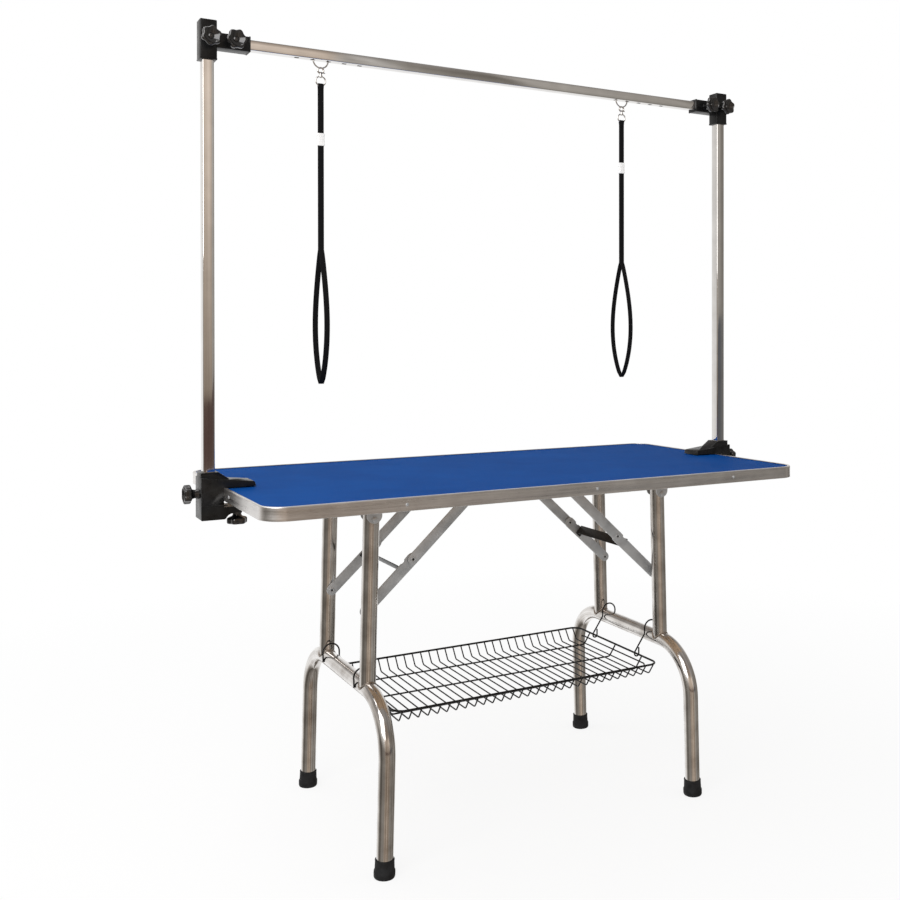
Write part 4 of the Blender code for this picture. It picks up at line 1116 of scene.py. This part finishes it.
# The studio's brightness by azimuth in degrees from +X toward +Y, as the metal sees it:
# below the horizon (the floor and the low panels), and above it (softboxes).
LOW_BANDS = (
    (-180, 0.14), (-168, 0.20), (-150, 0.26), (-136, 0.24), (-122, 0.42), (-108, 0.32),
    (-97, 0.60), (-88, 0.26), (-66, 0.33), (-50, 0.30), (-34, 0.17), (-14, 0.34),
    (4, 0.10), (20, 0.30), (46, 0.90), (80, 1.00), (112, 0.95), (134, 0.80),
    (150, 0.34), (166, 0.10), (180, 0.14),
)
HIGH_BANDS = (
    (-180, 0.55), (-140, 0.75), (-110, 0.60), (-88, 0.60), (-77, 0.84), (-73, 0.70),
    (-70.9, 0.64), (-70.5, 0.36), (-69.6, 0.58), (-68.6, 0.60), (-67.3, 0.28),
    (-65.5, 0.23), (-62, 0.17), (-61.1, 0.15), (-60.7, 0.44), (-58, 0.42), (-54, 0.36),
    (-51.5, 0.40), (-50.9, 0.25), (-40, 0.22), (-10, 0.22), (20, 0.60), (60, 0.95),
    (110, 0.85), (140, 0.66), (180, 0.55),
)


def band_ramp(tree, factor, bands, warmth):
    ramp = add_node(tree, "ShaderNodeValToRGB", {"Fac": factor})
    elements = ramp.color_ramp.elements
    while len(elements) < len(bands):
        elements.new(0.5)
    for element, (azimuth, level) in zip(elements, bands):
        element.position = (azimuth + 180) / 360
        warm = warmth * (1.0 - level)
        element.color = (level, level * (1 - 0.45 * warm), level * (1 - warm), 1)
    return ramp.outputs["Color"]


def build_world():
    """White to the camera, an even grey to soft light, and a banded studio to reflections."""
    world = bpy.data.worlds.new("studio")
    bpy.context.scene.world = world
    world.use_nodes = True
    tree = world.node_tree
    tree.nodes.clear()
    place = add_node(tree, "ShaderNodeTexCoord").outputs["Generated"]
    parts = add_node(tree, "ShaderNodeSeparateXYZ", {"Vector": place}).outputs
    angle = math_of(tree, "ARCTAN2", parts["Y"], parts["X"])
    turn = spread(tree, angle, 0.0, 1.0, (-math.pi, math.pi))
    low = band_ramp(tree, turn, LOW_BANDS, 0.24)
    high = band_ramp(tree, turn, HIGH_BANDS, 0.26)
    studio = shade(tree, spread(tree, parts["Z"], 0.0, 1.0, (-0.05, 0.20)), low, high)
    ceiling = spread(tree, parts["Z"], 0.0, 1.0, (0.30, 0.42))
    studio = shade(tree, ceiling, studio, (0.30, 0.28, 0.265))
    # a beige panel straight ahead, and a dark strip that runs across the front at eye level
    front = spread(tree, parts["Y"], 1.0, 0.0, (-0.80, -0.55))
    ahead = math_of(tree, "MULTIPLY", front, spread(tree, parts["X"], 1.0, 0.0, (0.312, 0.322)))
    beige = shade(tree, ahead, (1.0, 1.0, 1.0), (1.0, 0.87, 0.76))
    tinted = add_node(tree, "ShaderNodeVectorMath", {0: studio, 1: beige}, operation="MULTIPLY")
    studio = tinted.outputs["Vector"]
    right = spread(tree, parts["X"], 0.0, 1.0, (0.30, 0.55))
    top_edge = spread(tree, right, -0.055, 0.02, (0, 1))
    rise = math_of(tree, "SUBTRACT", parts["Z"], top_edge)
    below = spread(tree, rise, 1.0, 0.0, (-0.004, 0.004))
    above = spread(tree, parts["Z"], 0.0, 1.0, (-0.135, -0.115))
    strip = math_of(tree, "MULTIPLY", front, math_of(tree, "MULTIPLY", below, above))
    shadow = shade(tree, right, (0.095, 0.060, 0.050), (0.110, 0.113, 0.120))
    studio = shade(tree, strip, studio, shadow)
    path = add_node(tree, "ShaderNodeLightPath").outputs
    seen = shade(tree, path["Is Glossy Ray"], (0.50, 0.50, 0.50), studio)
    seen = shade(tree, path["Is Camera Ray"], seen, BACKDROP)
    shader = add_node(tree, "ShaderNodeBackground", {"Color": seen, "Strength": 1.0})
    out = add_node(tree, "ShaderNodeOutputWorld")
    tree.links.new(shader.outputs["Background"], out.inputs["Surface"])


def build_floor():
    """A pale floor that fades into the backdrop away from the table."""
    shape = bmesh.new()
    bmesh.ops.create_grid(shape, x_segments=1, y_segments=1, size=60.0)
    floor = new_object("floor", shape)
    floor.visible_glossy = False
    made, tree, shader = new_material("floor", (0.90, 0.90, 0.90), 0.80, specular=0.0)
    place = object_place(tree)
    reach = add_node(tree, "ShaderNodeVectorMath", {0: place}, operation="LENGTH")
    fade = spread(tree, reach.outputs["Value"], 0.86, 1.0, (0.5, 2.2))
    glow = add_node(tree, "ShaderNodeEmission", {"Color": (*BACKDROP, 1), "Strength": 1.0})
    mix = add_node(tree, "ShaderNodeMixShader", {"Fac": fade})
    tree.links.new(shader.outputs["BSDF"], mix.inputs[1])
    tree.links.new(glow.outputs["Emission"], mix.inputs[2])
    tree.links.new(mix.outputs["Shader"], tree.nodes["Material Output"].inputs["Surface"])
    floor.data.materials.append(made)


def area_light(name, place, target, size, power, colour=(1, 1, 1)):
    data = bpy.data.lights.new(name, "AREA")
    data.shape = "RECTANGLE"
    data.size, data.size_y = size
    data.energy = power
    data.color = colour
    lamp = bpy.data.objects.new(name, data)
    bpy.context.scene.collection.objects.link(lamp)
    lamp.visible_glossy = name != "fill"  # the fill stays out of the metal's reflections
    lamp.location = place
    aim = Vector(target) - Vector(place)
    lamp.rotation_euler = aim.to_track_quat("-Z", "Y").to_euler()


def build_camera():
    """A three-quarter view from the left of the front, just above the table's surface."""
    data = bpy.data.cameras.new("camera")
    data.sensor_width = 36.0
    data.lens = 41.99
    data.shift_x = -0.0841
    data.shift_y = -0.1179
    camera = bpy.data.objects.new("camera", data)
    camera.location = (-1.0777, -2.0421, 0.9938)
    camera.rotation_euler = (math.radians(90 - 0.303), math.radians(0.05), math.radians(-29.339))
    bpy.context.scene.collection.objects.link(camera)
    bpy.context.scene.camera = camera


def build_studio():
    build_world()
    build_floor()
    middle = (0, 0, 0.7)
    area_light("key", (-2.6, -2.0, 2.6), (-0.4, 0, 0.7), (2.8, 2.8), 84)
    area_light("fill", (2.8, -1.8, 2.2), middle, (2.0, 2.0), 12)
    area_light("top", (-1.2, 0.6, 2.9), (-0.4, 0, 0.7), (2.0, 1.6), 26)
    build_camera()
    bpy.context.scene.view_settings.view_transform = "Standard"


build_top()
for side in SIDES:
    build_leg_frame(side)
    build_stays(side)
    build_hooks(side)
    build_clamp(side)
    build_noose(side)
build_tray()
build_arm()
build_studio()

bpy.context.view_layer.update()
